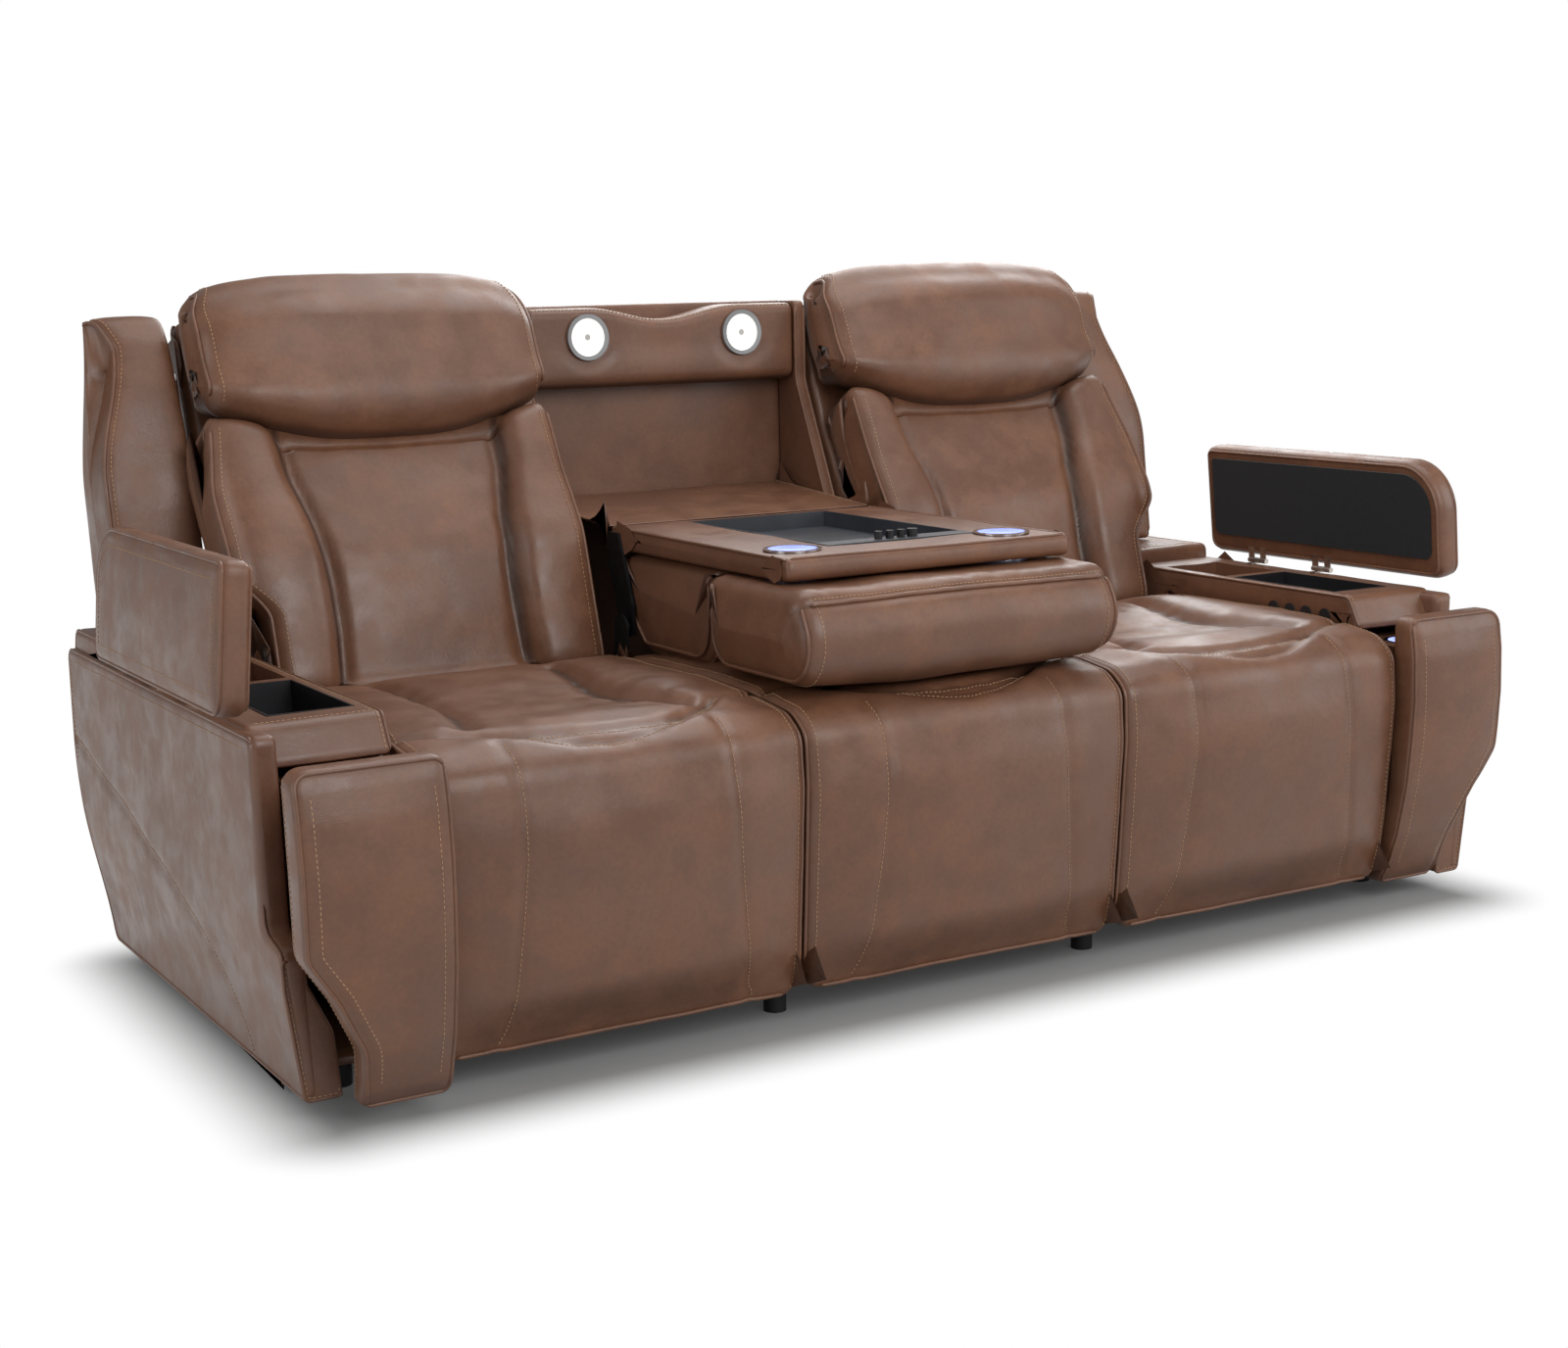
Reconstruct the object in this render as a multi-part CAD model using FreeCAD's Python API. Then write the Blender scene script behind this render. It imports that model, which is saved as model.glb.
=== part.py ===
import FreeCAD, Part
import math
import os

os.makedirs("parts", exist_ok=True)

V = FreeCAD.Vector

# A three-seat power sofa. +X is to the viewer's right, +Y to the back, +Z up, floor at z 0.
# All lengths are millimetres and angles are degrees.

# Overall sizes
SEAT_PITCH = 588.0
ARM_WIDTH = 197.0
ARM_HEIGHT = 529.0
ARM_FRONT = -390.0
ARM_REAR = 560.0
BACK_HEIGHT = 1108.0
TOWER_HEIGHT = 1041.0
ARM_BOTTOM = 35.0
REAR_LEAN = 68.0
REAR_BULGE = 22.0
REAR_BULGE_HEIGHT = 330.0

# Clearances
SOFT_GAP = 3.0
SLIDE_GAP = 0.3
PIN_GAP = 0.05

# Chassis
RAIL_BOTTOM = 60.0
RAIL_HEIGHT = 50.0
RAIL_WIDTH = 40.0
RAIL_FRONT = -380.0
MIDDLE_BAR = 60.0
GLIDE_RADIUS = 22.0
BOARD = 12.0

# Seats and footrests
SEAT_BOTTOM = 335.0
SEAT_TOP = 480.0
SEAT_FRONT = -392.0
SEAT_FRONT_TOP = 462.0
SEAT_REAR = 148.0
MIDDLE_SEAT_REAR = 120.0
PAD_BULGE = -480.0
PAD_EDGE = -447.0
PAD_BACK = -402.0
PAD_BOTTOM = 44.0
PAD_TOP = 461.0
PLATE_INSET = 40.0
PLATE = 4.0
PLATE_FRONT = -380.0
EAR_HALF = 24.0
LINK_PIVOT = (-200.0, 250.0)
LINK_LENGTH = 185.0
LINK_DROP = 20.0
LINK_WIDTH = 24.0
PIN_RADIUS = 6.0

# Reclining backs and headrests
BACK_PIVOT = (230.0, 420.0)
BACK_HEEL = (166.0, 455.0)
BACK_KNEE = (224.0, 683.0)
BACK_SHOULDER = (338.0, 838.0)
CUSHION_DEPTH = 110.0
FRAME_DEPTH = 66.0
HEADREST_DROP = 12.0
HEAD_LEAN = 78.0
HEADREST_GAP = 0.5

# Arm: drawer, console, lid
CONSOLE_THICK = 62.0
CONSOLE_FRONT = -339.0
CONSOLE_REAR = 250.0
BLOCK_RISE = 27.0
SIDE_PADDING = 12.0
SIDE_BOARD = 29.0
PANEL_BULGE = -455.0
PANEL_DROP = 21.0
PANEL_BOTTOM = 32.0
RIGHT_PULL = 50.0
LEFT_PULL = 123.5
BOX_WALL = 10.0
BOX_BOTTOM = 200.0
BOX_DROP = 17.0
BOX_LENGTH = 524.0
DECK_LENGTH = 200.0
RUNNER_THICK = 12.7
RUNNER_HEIGHT = 45.0
CUP_RADIUS = 37.0
CUP_DEPTH = 72.0
CUP_WALL = 2.0
RIM = 5.0
BIN_INSET = 22.0
BIN_FRONT = -284.0
BIN_REAR = -24.0
BIN_WALL = 3.0
POCKET_FRONT = 2.0
POCKET_REAR = 168.0
LID_WIDTH = 210.0
LID_THICK = 48.0
LID_FRONT = -372.0
LID_REAR = 244.0
LID_ROUND = 90.0
LID_CORNER = 16.0
LID_ANGLE = 84.0
LID_LIFT = 5.0
LID_PASS = 3.0
LINER = 3.0
LINER_MARGIN = 24.0
KNUCKLE_RADIUS = 5.0
KNUCKLE_LENGTH = 16.0
HINGE_PLACES = (-70.0, 105.0)
ARM_BUTTON_PLACES = (-157.0, -199.0, -240.0, -287.0)
ARM_BUTTON_DROP = 39.0
ARM_BUTTON_RADIUS = 12.0
BUTTON_TRAVEL = 3.0

# Wings behind the arms
WING_INSET = 10.0
WING_SHRINK = 38.0

# Middle tower with the reading lamps
SHELL_GAP = 4.0
TOWER_WALL = 22.0
TOWER_REAR = 575.0
REAR_WALL = 26.0
LAMP_PANEL_DEPTH = 65.0
LAMP_PANEL_BOTTOM = 900.0
LAMP_HEIGHT = 990.0
LAMP_SPACING = 312.0
LAMP_RADIUS = 40.0
LENS_RADIUS = 33.0
LAMP_DEPTH = 16.0

# Folding middle back, shown down as a table
TABLE_PIVOT = (150.0, 525.0)
TABLE_GAP = 3.0
TABLE_TOP = 687.0
TABLE_THICK = 40.0
TABLE_FRONT = -368.0
TABLE_REAR = 216.0
TRAY_LEFT_MARGIN = 134.0
TRAY_RIGHT_MARGIN = 111.0
TRAY_REAR = 190.0
TRAY_FRONT = -222.0
TRAY_DEPTH = 26.0
TRAY_WALL = 3.0
STRIP_FRONT = -262.0
LEFT_CUP_PLACE = (65.0, -271.0)
RIGHT_CUP_PLACE = (79.0, -290.0)
TABLE_CUP_RADIUS = 40.0
TABLE_CUP_DEPTH = 60.0
TABLE_BUTTON_PITCH = 21.0
TABLE_BUTTON_START = -19.0
TABLE_BUTTON_Y = -240.0
TABLE_BUTTON_RADII = (6.5, 6.5, 6.5, 8.5)
TABLE_BUTTON_HEIGHT = 17.0
FOLD_CUSHION_BOTTOM = 484.0
FOLD_CUSHION_FRONT = -132.0
BOLSTER_BACK = -158.0
BOLSTER_FRONT = -474.0
BOLSTER_BOTTOM = 502.0
BOLSTER_OVERHANG = 29.0
BRACKET = 6.0
TABLE_PIN_RADIUS = 8.0
FLAP_THICK = 4.0
FLAP_REAR_HEIGHT = 711.0

# Sizes that follow from the ones above
SEAT_EDGE = SEAT_PITCH / 2
ARM_INNER = SEAT_PITCH * 1.5
ARM_OUTER = ARM_INNER + ARM_WIDTH
SEAT_SPAN = (SEAT_EDGE + SOFT_GAP, ARM_INNER - SOFT_GAP)
BACK_SPAN = (SEAT_EDGE + 2 * SOFT_GAP, ARM_INNER - 2 * SOFT_GAP)
RAIL_TOP = RAIL_BOTTOM + RAIL_HEIGHT
CONSOLE_BOTTOM = ARM_HEIGHT - CONSOLE_THICK
ARM_BUTTON_HEIGHT = ARM_HEIGHT - ARM_BUTTON_DROP
PANEL_TOP = ARM_HEIGHT - PANEL_DROP
BOX_TOP = CONSOLE_BOTTOM - BOX_DROP
BOARD_INNER = ARM_OUTER - SIDE_BOARD
CAVITY = (ARM_INNER + BOARD, BOARD_INNER)
BOX_SPAN = (CAVITY[0] + RUNNER_THICK + SLIDE_GAP, CAVITY[1] - RUNNER_THICK - SLIDE_GAP)
PANEL_BACK = ARM_FRONT - 4.0
SIDE_BOTTOM = (PANEL_BACK + 50.0, PANEL_BOTTOM)
CUP_CENTRE = ((BOX_SPAN[0] + BOX_SPAN[1]) / 2, PANEL_BACK + CUP_RADIUS + RIM + 3.0)
BIN_SPAN = (ARM_INNER + BIN_INSET, ARM_OUTER - BIN_INSET - SIDE_BOARD)
LID_AXIS = (ARM_OUTER, ARM_HEIGHT + LID_LIFT)
WALL_FRONT = TOWER_REAR - REAR_WALL
BLOCK_TOP = ARM_HEIGHT + BLOCK_RISE
SHELL_EDGE = SEAT_EDGE - SHELL_GAP
TABLE_SIDE = SHELL_EDGE - TOWER_WALL - TABLE_GAP - BRACKET
TRAY_LEFT = TRAY_LEFT_MARGIN - TABLE_SIDE
TRAY_RIGHT = TABLE_SIDE - TRAY_RIGHT_MARGIN
TABLE_CUPS = (
    (LEFT_CUP_PLACE[0] - TABLE_SIDE, LEFT_CUP_PLACE[1]),
    (TABLE_SIDE - RIGHT_CUP_PLACE[0], RIGHT_CUP_PLACE[1]),
)
TABLE_BOTTOM = TABLE_TOP - TABLE_THICK
PLATE_XS = (SEAT_SPAN[0] + PLATE_INSET, SEAT_SPAN[1] - PLATE_INSET - PLATE)


def outline(plane, level, corners):
    """Closed wire through corners (a, b, radius) in a plane across one axis, with round corners."""
    def lift(a, b):
        if plane == "x":
            return V(level, a, b)
        if plane == "y":
            return V(a, level, b)
        return V(a, b, level)

    count = len(corners)
    starts, middles, ends = [], [], []
    for i, (a, b, radius) in enumerate(corners):
        here = lift(a, b)
        before = lift(*corners[i - 1][:2]) - here
        after = lift(*corners[(i + 1) % count][:2]) - here
        before.normalize()
        after.normalize()
        half = before.getAngle(after) / 2
        reach = radius / math.tan(half)
        bisector = before + after
        starts.append(here + before * reach)
        ends.append(here + after * reach)
        if radius:
            bisector.normalize()
            middles.append(here + bisector * (radius / math.sin(half) - radius))
        else:
            middles.append(None)
    edges = []
    for i in range(count):
        if middles[i]:
            edges.append(Part.Arc(starts[i], middles[i], ends[i]).toShape())
        following = starts[(i + 1) % count]
        if ends[i].distanceToPoint(following) > 0.01:
            edges.append(Part.LineSegment(ends[i], following).toShape())
    return Part.Wire(edges)


def prism(plane, corners, span):
    """Solid with one outline across an axis, between two limits on that axis."""
    length = span[1] - span[0]
    direction = {"x": V(length, 0, 0), "y": V(0, length, 0), "z": V(0, 0, length)}[plane]
    return Part.Face(outline(plane, span[0], corners)).extrude(direction)


def block(x_span, y_span, z_span):
    """Box between three pairs of limits."""
    low = V(x_span[0], y_span[0], z_span[0])
    return Part.makeBox(x_span[1] - x_span[0], y_span[1] - y_span[0], z_span[1] - z_span[0], low)


def rod(start, direction, radius, length):
    """Round bar from a point along a direction."""
    return Part.makeCylinder(radius, length, V(*start), V(*direction))


def cross_bar(point, x_span, radius):
    """Round bar along X through a point (y, z)."""
    return rod((x_span[0], point[0], point[1]), (1, 0, 0), radius, x_span[1] - x_span[0])


def mirrored(solids):
    """The same solids on the other side of the sofa."""
    return [solid.mirror(V(0, 0, 0), V(1, 0, 0)) for solid in solids]


def both_sides(solids):
    """Solids of one side and their mirror images."""
    return solids + mirrored(solids)


def shifted(solids, y):
    """Solids moved along Y."""
    moved = [solid.copy() for solid in solids]
    for solid in moved:
        solid.translate(V(0, y, 0))
    return moved


def opened_lid(solids):
    """Solids of a closed right lid turned up to the open position."""
    turned = [solid.copy() for solid in solids]
    for solid in turned:
        solid.rotate(V(LID_AXIS[0], 0, LID_AXIS[1]), V(0, 1, 0), LID_ANGLE)
    return turned


def export(node, solids):
    """Write one sub-part."""
    shape = solids[0] if len(solids) == 1 else Part.makeCompound(solids)
    shape.exportStep("parts/" + node + ".step")


# Chassis

def base_rails():
    """Front and rear bars with cross bars between them."""
    z_span = (RAIL_BOTTOM, RAIL_TOP)
    rear = ARM_REAR - BOARD - 8.0
    front_end = RAIL_FRONT + RAIL_WIDTH
    solids = [
        block((-ARM_INNER, ARM_INNER), (RAIL_FRONT, front_end), z_span),
        block((-ARM_INNER, ARM_INNER), (rear - RAIL_WIDTH, rear), z_span),
    ]
    inner = SEAT_EDGE - RAIL_WIDTH / 2
    solids.append(block((-inner, inner), (MIDDLE_BAR, MIDDLE_BAR + RAIL_WIDTH), z_span))
    between = (front_end, rear - RAIL_WIDTH)
    for x in (SEAT_EDGE, ARM_INNER - RAIL_WIDTH / 2):
        solids += both_sides([block((x - RAIL_WIDTH / 2, x + RAIL_WIDTH / 2), between, z_span)])
    return solids


def glides():
    """Round floor glides under the arms and under the front and rear bars."""
    arm_x = (CAVITY[0] + CAVITY[1]) / 2
    rear = ARM_REAR - BOARD - 8.0 - RAIL_WIDTH / 2
    arm_rear = ARM_REAR - REAR_LEAN - 2 * GLIDE_RADIUS
    solids = []
    for y in (RAIL_FRONT + 2 * RAIL_WIDTH, arm_rear):
        solids.append(rod((arm_x, y, 0), (0, 0, 1), GLIDE_RADIUS, ARM_BOTTOM))
    for y in (RAIL_FRONT + RAIL_WIDTH / 2, rear):
        solids.append(rod((SEAT_EDGE, y, 0), (0, 0, 1), GLIDE_RADIUS * 0.8, RAIL_BOTTOM))
    return both_sides(solids)


def side_plate(x):
    """Side plate of a reclining mechanism: a sheet under the seat and an ear up to the back's pivot."""
    y, z = BACK_PIVOT
    sheet = [
        (PLATE_FRONT, RAIL_TOP, 10),
        (SEAT_REAR + 60, RAIL_TOP, 20),
        (y + EAR_HALF, SEAT_BOTTOM, 0),
        (PLATE_FRONT, SEAT_BOTTOM, 20),
    ]
    ear = [
        (y - EAR_HALF, SEAT_BOTTOM, 0),
        (y + EAR_HALF, SEAT_BOTTOM, 0),
        (y + EAR_HALF, z + EAR_HALF, EAR_HALF - 1),
        (y - EAR_HALF, z + EAR_HALF, EAR_HALF - 1),
    ]
    return [prism("x", sheet, (x, x + PLATE)), prism("x", ear, (x, x + PLATE))]


def mechanism_plates():
    """Plates and pins of both mechanisms, plates and pins that carry the folding middle back."""
    solids = []
    for i, x in enumerate(PLATE_XS):
        inward = 1 if i == 0 else -1
        face = x + PLATE if i == 0 else x
        pin = (face, face + inward * (2 * PLATE + 2))
        pin = (min(pin), max(pin))
        solids += side_plate(x)
        solids.append(cross_bar(BACK_PIVOT, pin, PIN_RADIUS))
        solids.append(cross_bar(LINK_PIVOT, pin, PIN_RADIUS))
    stand = SEAT_EDGE - PLATE_INSET
    solids.append(block((stand, stand + PLATE), (PLATE_FRONT, MIDDLE_BAR + RAIL_WIDTH), (RAIL_TOP, SEAT_BOTTOM)))
    y, z = TABLE_PIVOT
    x = SEAT_EDGE - RAIL_WIDTH / 2
    table_plate = [
        (y - 20, RAIL_TOP, 0),
        (y + 60, RAIL_TOP, 0),
        (y + 22, z + 22, 20),
        (y - 22, z + 22, 20),
    ]
    solids.append(prism("x", table_plate, (x, x + PLATE)))
    solids.append(cross_bar(TABLE_PIVOT, (TABLE_SIDE - 2, x), TABLE_PIN_RADIUS))
    return both_sides(solids)


def drive_motors():
    """Linear actuator with its guide tube, hung between the plates of each mechanism."""
    middle = (PLATE_XS[0] + PLATE_XS[1] + PLATE) / 2
    tube_z = RAIL_TOP + 60
    body = block((middle - 40, middle + 40), (0, 120), (tube_z - 35, tube_z + 55))
    guide = rod((middle, -300, tube_z), (0, 1, 0), 14, 300)
    front_tube = cross_bar((-312, tube_z), (PLATE_XS[0] + PLATE, PLATE_XS[1]), 12)
    rear_tube = cross_bar((132, tube_z), (PLATE_XS[0] + PLATE, PLATE_XS[1]), 12)
    return both_sides([body, guide, front_tube, rear_tube])


# Seats

def seat_outline(rear):
    """Side profile of a seat cushion."""
    return [
        (SEAT_FRONT, SEAT_BOTTOM, 6),
        (SEAT_FRONT, SEAT_FRONT_TOP, 12),
        (SEAT_FRONT + 130, SEAT_TOP, 120),
        (rear, SEAT_TOP, 25),
        (rear, SEAT_BOTTOM, 10),
    ]


def front_pad_outline(back):
    """Side profile of the padded board in front of a seat."""
    return [
        (back, PAD_BOTTOM, 8),
        (PAD_EDGE, PAD_BOTTOM, 14),
        (PAD_BULGE, PAD_BOTTOM + 95, 120),
        (PAD_BULGE, PAD_TOP - 110, 120),
        (PAD_EDGE, PAD_TOP, 12),
        (back, PAD_TOP, 5),
    ]


def middle_seat():
    """Middle seat cushion and its fixed front pad."""
    span = (-SEAT_EDGE + SOFT_GAP, SEAT_EDGE - SOFT_GAP)
    cushion = prism("x", seat_outline(MIDDLE_SEAT_REAR), span)
    pad = prism("x", front_pad_outline(SEAT_FRONT), span)
    return [cushion, pad]


def right_seat():
    """End seat cushion."""
    return [prism("x", seat_outline(SEAT_REAR), SEAT_SPAN)]


def right_footrest():
    """Padded footrest board, hanging closed, with steel bars on its back."""
    solids = [prism("x", front_pad_outline(PAD_BACK), SEAT_SPAN)]
    tip_z = link_tip()[1]
    for start in link_places():
        x = start + PLATE + SLIDE_GAP if start < middle_of_seat() else start - PLATE - SLIDE_GAP
        solids.append(block((x, x + PLATE), (PAD_BACK, PAD_BACK + 6), (PAD_BOTTOM + 60, SEAT_BOTTOM - 12)))
        ear = [
            (PAD_BACK + 6, tip_z + 30, 0),
            (PAD_BACK + 34, tip_z + 14, 8),
            (PAD_BACK + 34, tip_z - 14, 8),
            (PAD_BACK + 6, tip_z - 30, 0),
        ]
        solids.append(prism("x", ear, (x, x + PLATE)))
    return solids


def middle_of_seat():
    """Middle of the right seat along X."""
    return (SEAT_SPAN[0] + SEAT_SPAN[1]) / 2


def link_places():
    """Where the two swing links start along X, each beside its mechanism plate."""
    return (PLATE_XS[0] + PLATE + 1, PLATE_XS[1] - PLATE - 1)


def link_tip():
    """Far end of a swing link (y, z)."""
    drop = math.radians(LINK_DROP)
    return (LINK_PIVOT[0] - LINK_LENGTH * math.cos(drop), LINK_PIVOT[1] - LINK_LENGTH * math.sin(drop))


def right_drive_links():
    """Swing links between the mechanism plates and the footrest."""
    y, z = LINK_PIVOT
    drop = math.radians(LINK_DROP)
    tip = link_tip()
    half = LINK_WIDTH / 2
    side = (half * math.sin(drop), -half * math.cos(drop))
    bar = [
        (y + side[0], z + side[1], 0),
        (y - side[0], z - side[1], 0),
        (tip[0] - side[0], tip[1] - side[1], 6),
        (tip[0] + side[0], tip[1] + side[1], 6),
    ]
    solids = []
    for start in link_places():
        link = prism("x", bar, (start, start + PLATE))
        link = link.fuse(cross_bar(LINK_PIVOT, (start, start + PLATE), half))
        hole = cross_bar(LINK_PIVOT, (start - 1, start + PLATE + 1), PIN_RADIUS + PIN_GAP)
        solids.append(link.cut(hole))
    return solids


# Reclining backs

def back_lines():
    """Front, middle and rear lines of a reclining back, from the bottom up."""
    depth = CUSHION_DEPTH
    front = [BACK_HEEL, BACK_KNEE, BACK_SHOULDER]
    middle = [(y + depth, z + dz) for (y, z), dz in zip(front, (0, -40, -24))]
    return front, middle


def head_line(z):
    """Front face of the back frame behind the headrest, at a height."""
    y, low = back_lines()[1][2]
    return y + HEADREST_GAP + HEAD_LEAN * (z - low) / (TOWER_HEIGHT - 5 - low)


def right_back_cushion():
    """Padded front of a reclining back, narrow enough for the closed lid to pass beside it."""
    front, middle = back_lines()
    corners = [
        (front[0][0], front[0][1], 18),
        (front[1][0], front[1][1], 150),
        (front[2][0], front[2][1], 12),
        (middle[2][0], middle[2][1], 5),
        (middle[1][0], middle[1][1], 0),
        (middle[0][0], middle[0][1], 5),
    ]
    closed_lid_edge = LID_AXIS[0] - 6 - LID_WIDTH
    return [prism("x", corners, (BACK_SPAN[0], closed_lid_edge - LID_PASS))]


def right_back_frame():
    """Frame and outer back behind the cushion, with two brackets on the recline pins."""
    middle = back_lines()[1]
    inner = [(y + HEADREST_GAP, z) for y, z in middle]
    head = (head_line(TOWER_HEIGHT - 5), TOWER_HEIGHT - 5)
    shell = [
        (inner[0][0] + 18, BACK_HEEL[1] - 50, 5),
        (inner[0][0] + 6, inner[0][1], 0),
        (inner[1][0], inner[1][1], 0),
        (inner[2][0], inner[2][1], 0),
        (head[0], head[1], 8),
        (head[0] + FRAME_DEPTH * 0.6, head[1] - 8, 20),
        (inner[2][0] + FRAME_DEPTH + 12, inner[2][1] - 30, 120),
        (inner[1][0] + FRAME_DEPTH, inner[1][1] - 30, 120),
        (inner[0][0] + FRAME_DEPTH + 20, BACK_HEEL[1] - 50, 20),
    ]
    frame = prism("x", shell, BACK_SPAN)
    y, z = BACK_PIVOT
    bracket = [
        (y - 16, z - 16, 14),
        (y - 16, z + 16, 14),
        (inner[0][0] + 40, z + 26, 0),
        (inner[0][0] + 40, z - 10, 0),
    ]
    solids = [frame]
    for start in link_places():
        bar = prism("x", bracket, (start, start + PLATE)).cut(frame)
        hole = cross_bar(BACK_PIVOT, (start - 1, start + PLATE + 1), PIN_RADIUS + PIN_GAP)
        solids.append(bar.cut(hole))
    return solids


def right_headrest():
    """Headrest pillow on top of the back."""
    front, middle = back_lines()
    y, z = front[2]
    rear_z = middle[2][1]
    corners = [
        (y - 6, z + HEADREST_DROP, 6),
        (y - 30, z + 90, 60),
        (y - 2, BACK_HEIGHT - 50, 60),
        (y + 75, BACK_HEIGHT, 50),
        (head_line(TOWER_HEIGHT - 40), BACK_HEIGHT - 22, 25),
        (head_line(TOWER_HEIGHT - 40) - HEADREST_GAP, TOWER_HEIGHT - 40, 0),
        (head_line(rear_z + 20) - HEADREST_GAP, rear_z + 20, 5),
    ]
    return [prism("x", corners, BACK_SPAN)]


# Arms

def side_curve(offset):
    """Edge between the drawer front and the fixed side, moved outward by an offset."""
    return [
        (ARM_OUTER - 67 + offset, PANEL_BOTTOM, 0),
        (ARM_OUTER - 62 + offset, 125, 60),
        (ARM_OUTER - 27 + offset, 200, 60),
        (ARM_OUTER + SIDE_PADDING - 4, 256 - offset, 0),
    ]


def side_profile(front, top):
    """Side view of an arm's outer panel."""
    return [
        (front, ARM_BOTTOM, 4),
        (ARM_REAR - REAR_LEAN, ARM_BOTTOM, 25),
        (ARM_REAR + REAR_BULGE, REAR_BULGE_HEIGHT, 250),
        (ARM_REAR, top, 25),
        (front, top, 4),
    ]


def right_arm_side():
    """Outer board and padding, seat-side wall, rear wall, floor board and front wrap of an arm."""
    board = prism("x", side_profile(ARM_FRONT, CONSOLE_BOTTOM), (BOARD_INNER, ARM_OUTER))
    padding = prism("x", side_profile(ARM_FRONT, ARM_HEIGHT - 6), (ARM_OUTER, ARM_OUTER + SIDE_PADDING))
    wall_front = SIDE_BOTTOM[0] + 6
    wall = prism("x", side_profile(wall_front, CONSOLE_BOTTOM), (ARM_INNER, CAVITY[0]))
    rear = prism(
        "x",
        [
            (ARM_REAR - REAR_LEAN - BOARD, ARM_BOTTOM + BOARD, 0),
            (ARM_REAR - REAR_LEAN, ARM_BOTTOM + BOARD, 0),
            (ARM_REAR, REAR_BULGE_HEIGHT, 0),
            (ARM_REAR, CONSOLE_BOTTOM, 0),
            (ARM_REAR - BOARD, CONSOLE_BOTTOM, 0),
            (ARM_REAR - BOARD, REAR_BULGE_HEIGHT, 0),
        ],
        CAVITY,
    )
    floor = block(CAVITY, (wall_front, ARM_REAR - REAR_LEAN - BOARD), (ARM_BOTTOM, ARM_BOTTOM + BOARD))
    curve = side_curve(4)
    wrap = prism(
        "y",
        [
            (curve[0][0], ARM_BOTTOM, 2),
            (ARM_OUTER + SIDE_PADDING, ARM_BOTTOM, 4),
            (ARM_OUTER + SIDE_PADDING, curve[3][1], 2),
            curve[2],
            curve[1],
        ],
        (ARM_FRONT - 58, ARM_FRONT),
    )
    return [board, padding, wall, rear, floor, wrap]


def right_console():
    """Padded arm top with the bin opening, the rear compartment and the raised block behind."""
    top = prism(
        "x",
        [
            (CONSOLE_FRONT - 34, CONSOLE_BOTTOM, 4),
            (CONSOLE_REAR, CONSOLE_BOTTOM, 0),
            (CONSOLE_REAR, ARM_HEIGHT, 2),
            (CONSOLE_FRONT, ARM_HEIGHT, 14),
        ],
        (ARM_INNER, ARM_OUTER),
    )
    through = (CONSOLE_BOTTOM - 1, ARM_HEIGHT + 1)
    top = top.cut(block(BIN_SPAN, (BIN_FRONT, BIN_REAR), through))
    pocket_floor = CONSOLE_BOTTOM + BIN_WALL
    top = top.cut(block(BIN_SPAN, (POCKET_FRONT, POCKET_REAR), (pocket_floor, through[1])))
    for y in ARM_BUTTON_PLACES:
        top = top.cut(button_well(y))
    raised = prism(
        "x",
        [
            (CONSOLE_REAR, CONSOLE_BOTTOM, 0),
            (CONSOLE_REAR, BLOCK_TOP, 15),
            (ARM_REAR - 20, BLOCK_TOP, 25),
            (ARM_REAR + 15, CONSOLE_BOTTOM, 8),
        ],
        (ARM_INNER, ARM_OUTER),
    )
    return [top, raised]


def button_well(y):
    """Well of an arm button in the seat-side face of the console."""
    depth = 2 * BUTTON_TRAVEL + 2
    radius = ARM_BUTTON_RADIUS + SLIDE_GAP
    return rod((ARM_INNER - 1, y, ARM_BUTTON_HEIGHT), (1, 0, 0), radius, depth + 1)


def arm_button(y):
    """Round push button in the seat-side face of the right console."""
    depth = 2 * BUTTON_TRAVEL + 2
    length = depth - BUTTON_TRAVEL - SLIDE_GAP + 3
    return [rod((ARM_INNER - 3, y, ARM_BUTTON_HEIGHT), (1, 0, 0), ARM_BUTTON_RADIUS, length)]


def console_bins():
    """Plastic bin in the front of each console."""
    outer = block(BIN_SPAN, (BIN_FRONT, BIN_REAR), (CONSOLE_BOTTOM - 2, ARM_HEIGHT))
    inner = block(
        (BIN_SPAN[0] + BIN_WALL, BIN_SPAN[1] - BIN_WALL),
        (BIN_FRONT + BIN_WALL, BIN_REAR - BIN_WALL),
        (CONSOLE_BOTTOM - 2 + BIN_WALL, ARM_HEIGHT + 1),
    )
    return both_sides([outer.cut(inner)])


def closed_panel():
    """Drawer front of the right arm, pushed in."""
    bottom_y, bottom_z = SIDE_BOTTOM
    curve = side_curve(-4)
    profile = [
        (bottom_y, bottom_z, 5),
        (bottom_y - 40, bottom_z, 12),
        (PANEL_BULGE + 10, bottom_z + 190, 150),
        (PANEL_BULGE, bottom_z + 334, 150),
        (PANEL_BULGE + 20, PANEL_TOP, 14),
        (PANEL_BACK, PANEL_TOP, 10),
        (PANEL_BACK, bottom_z + 160, 30),
    ]
    front = [
        (ARM_INNER + 2, bottom_z, 8),
        (curve[0][0], bottom_z, 2),
        curve[1],
        curve[2],
        (curve[3][0], curve[3][1] + 4, 8),
        (curve[3][0], PANEL_TOP, 20),
        (ARM_INNER + 2, PANEL_TOP, 14),
    ]
    side = prism("x", profile, (ARM_INNER, ARM_OUTER + SIDE_PADDING))
    return side.common(prism("y", front, (PANEL_BULGE - 20, PANEL_BACK + 80)))


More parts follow.
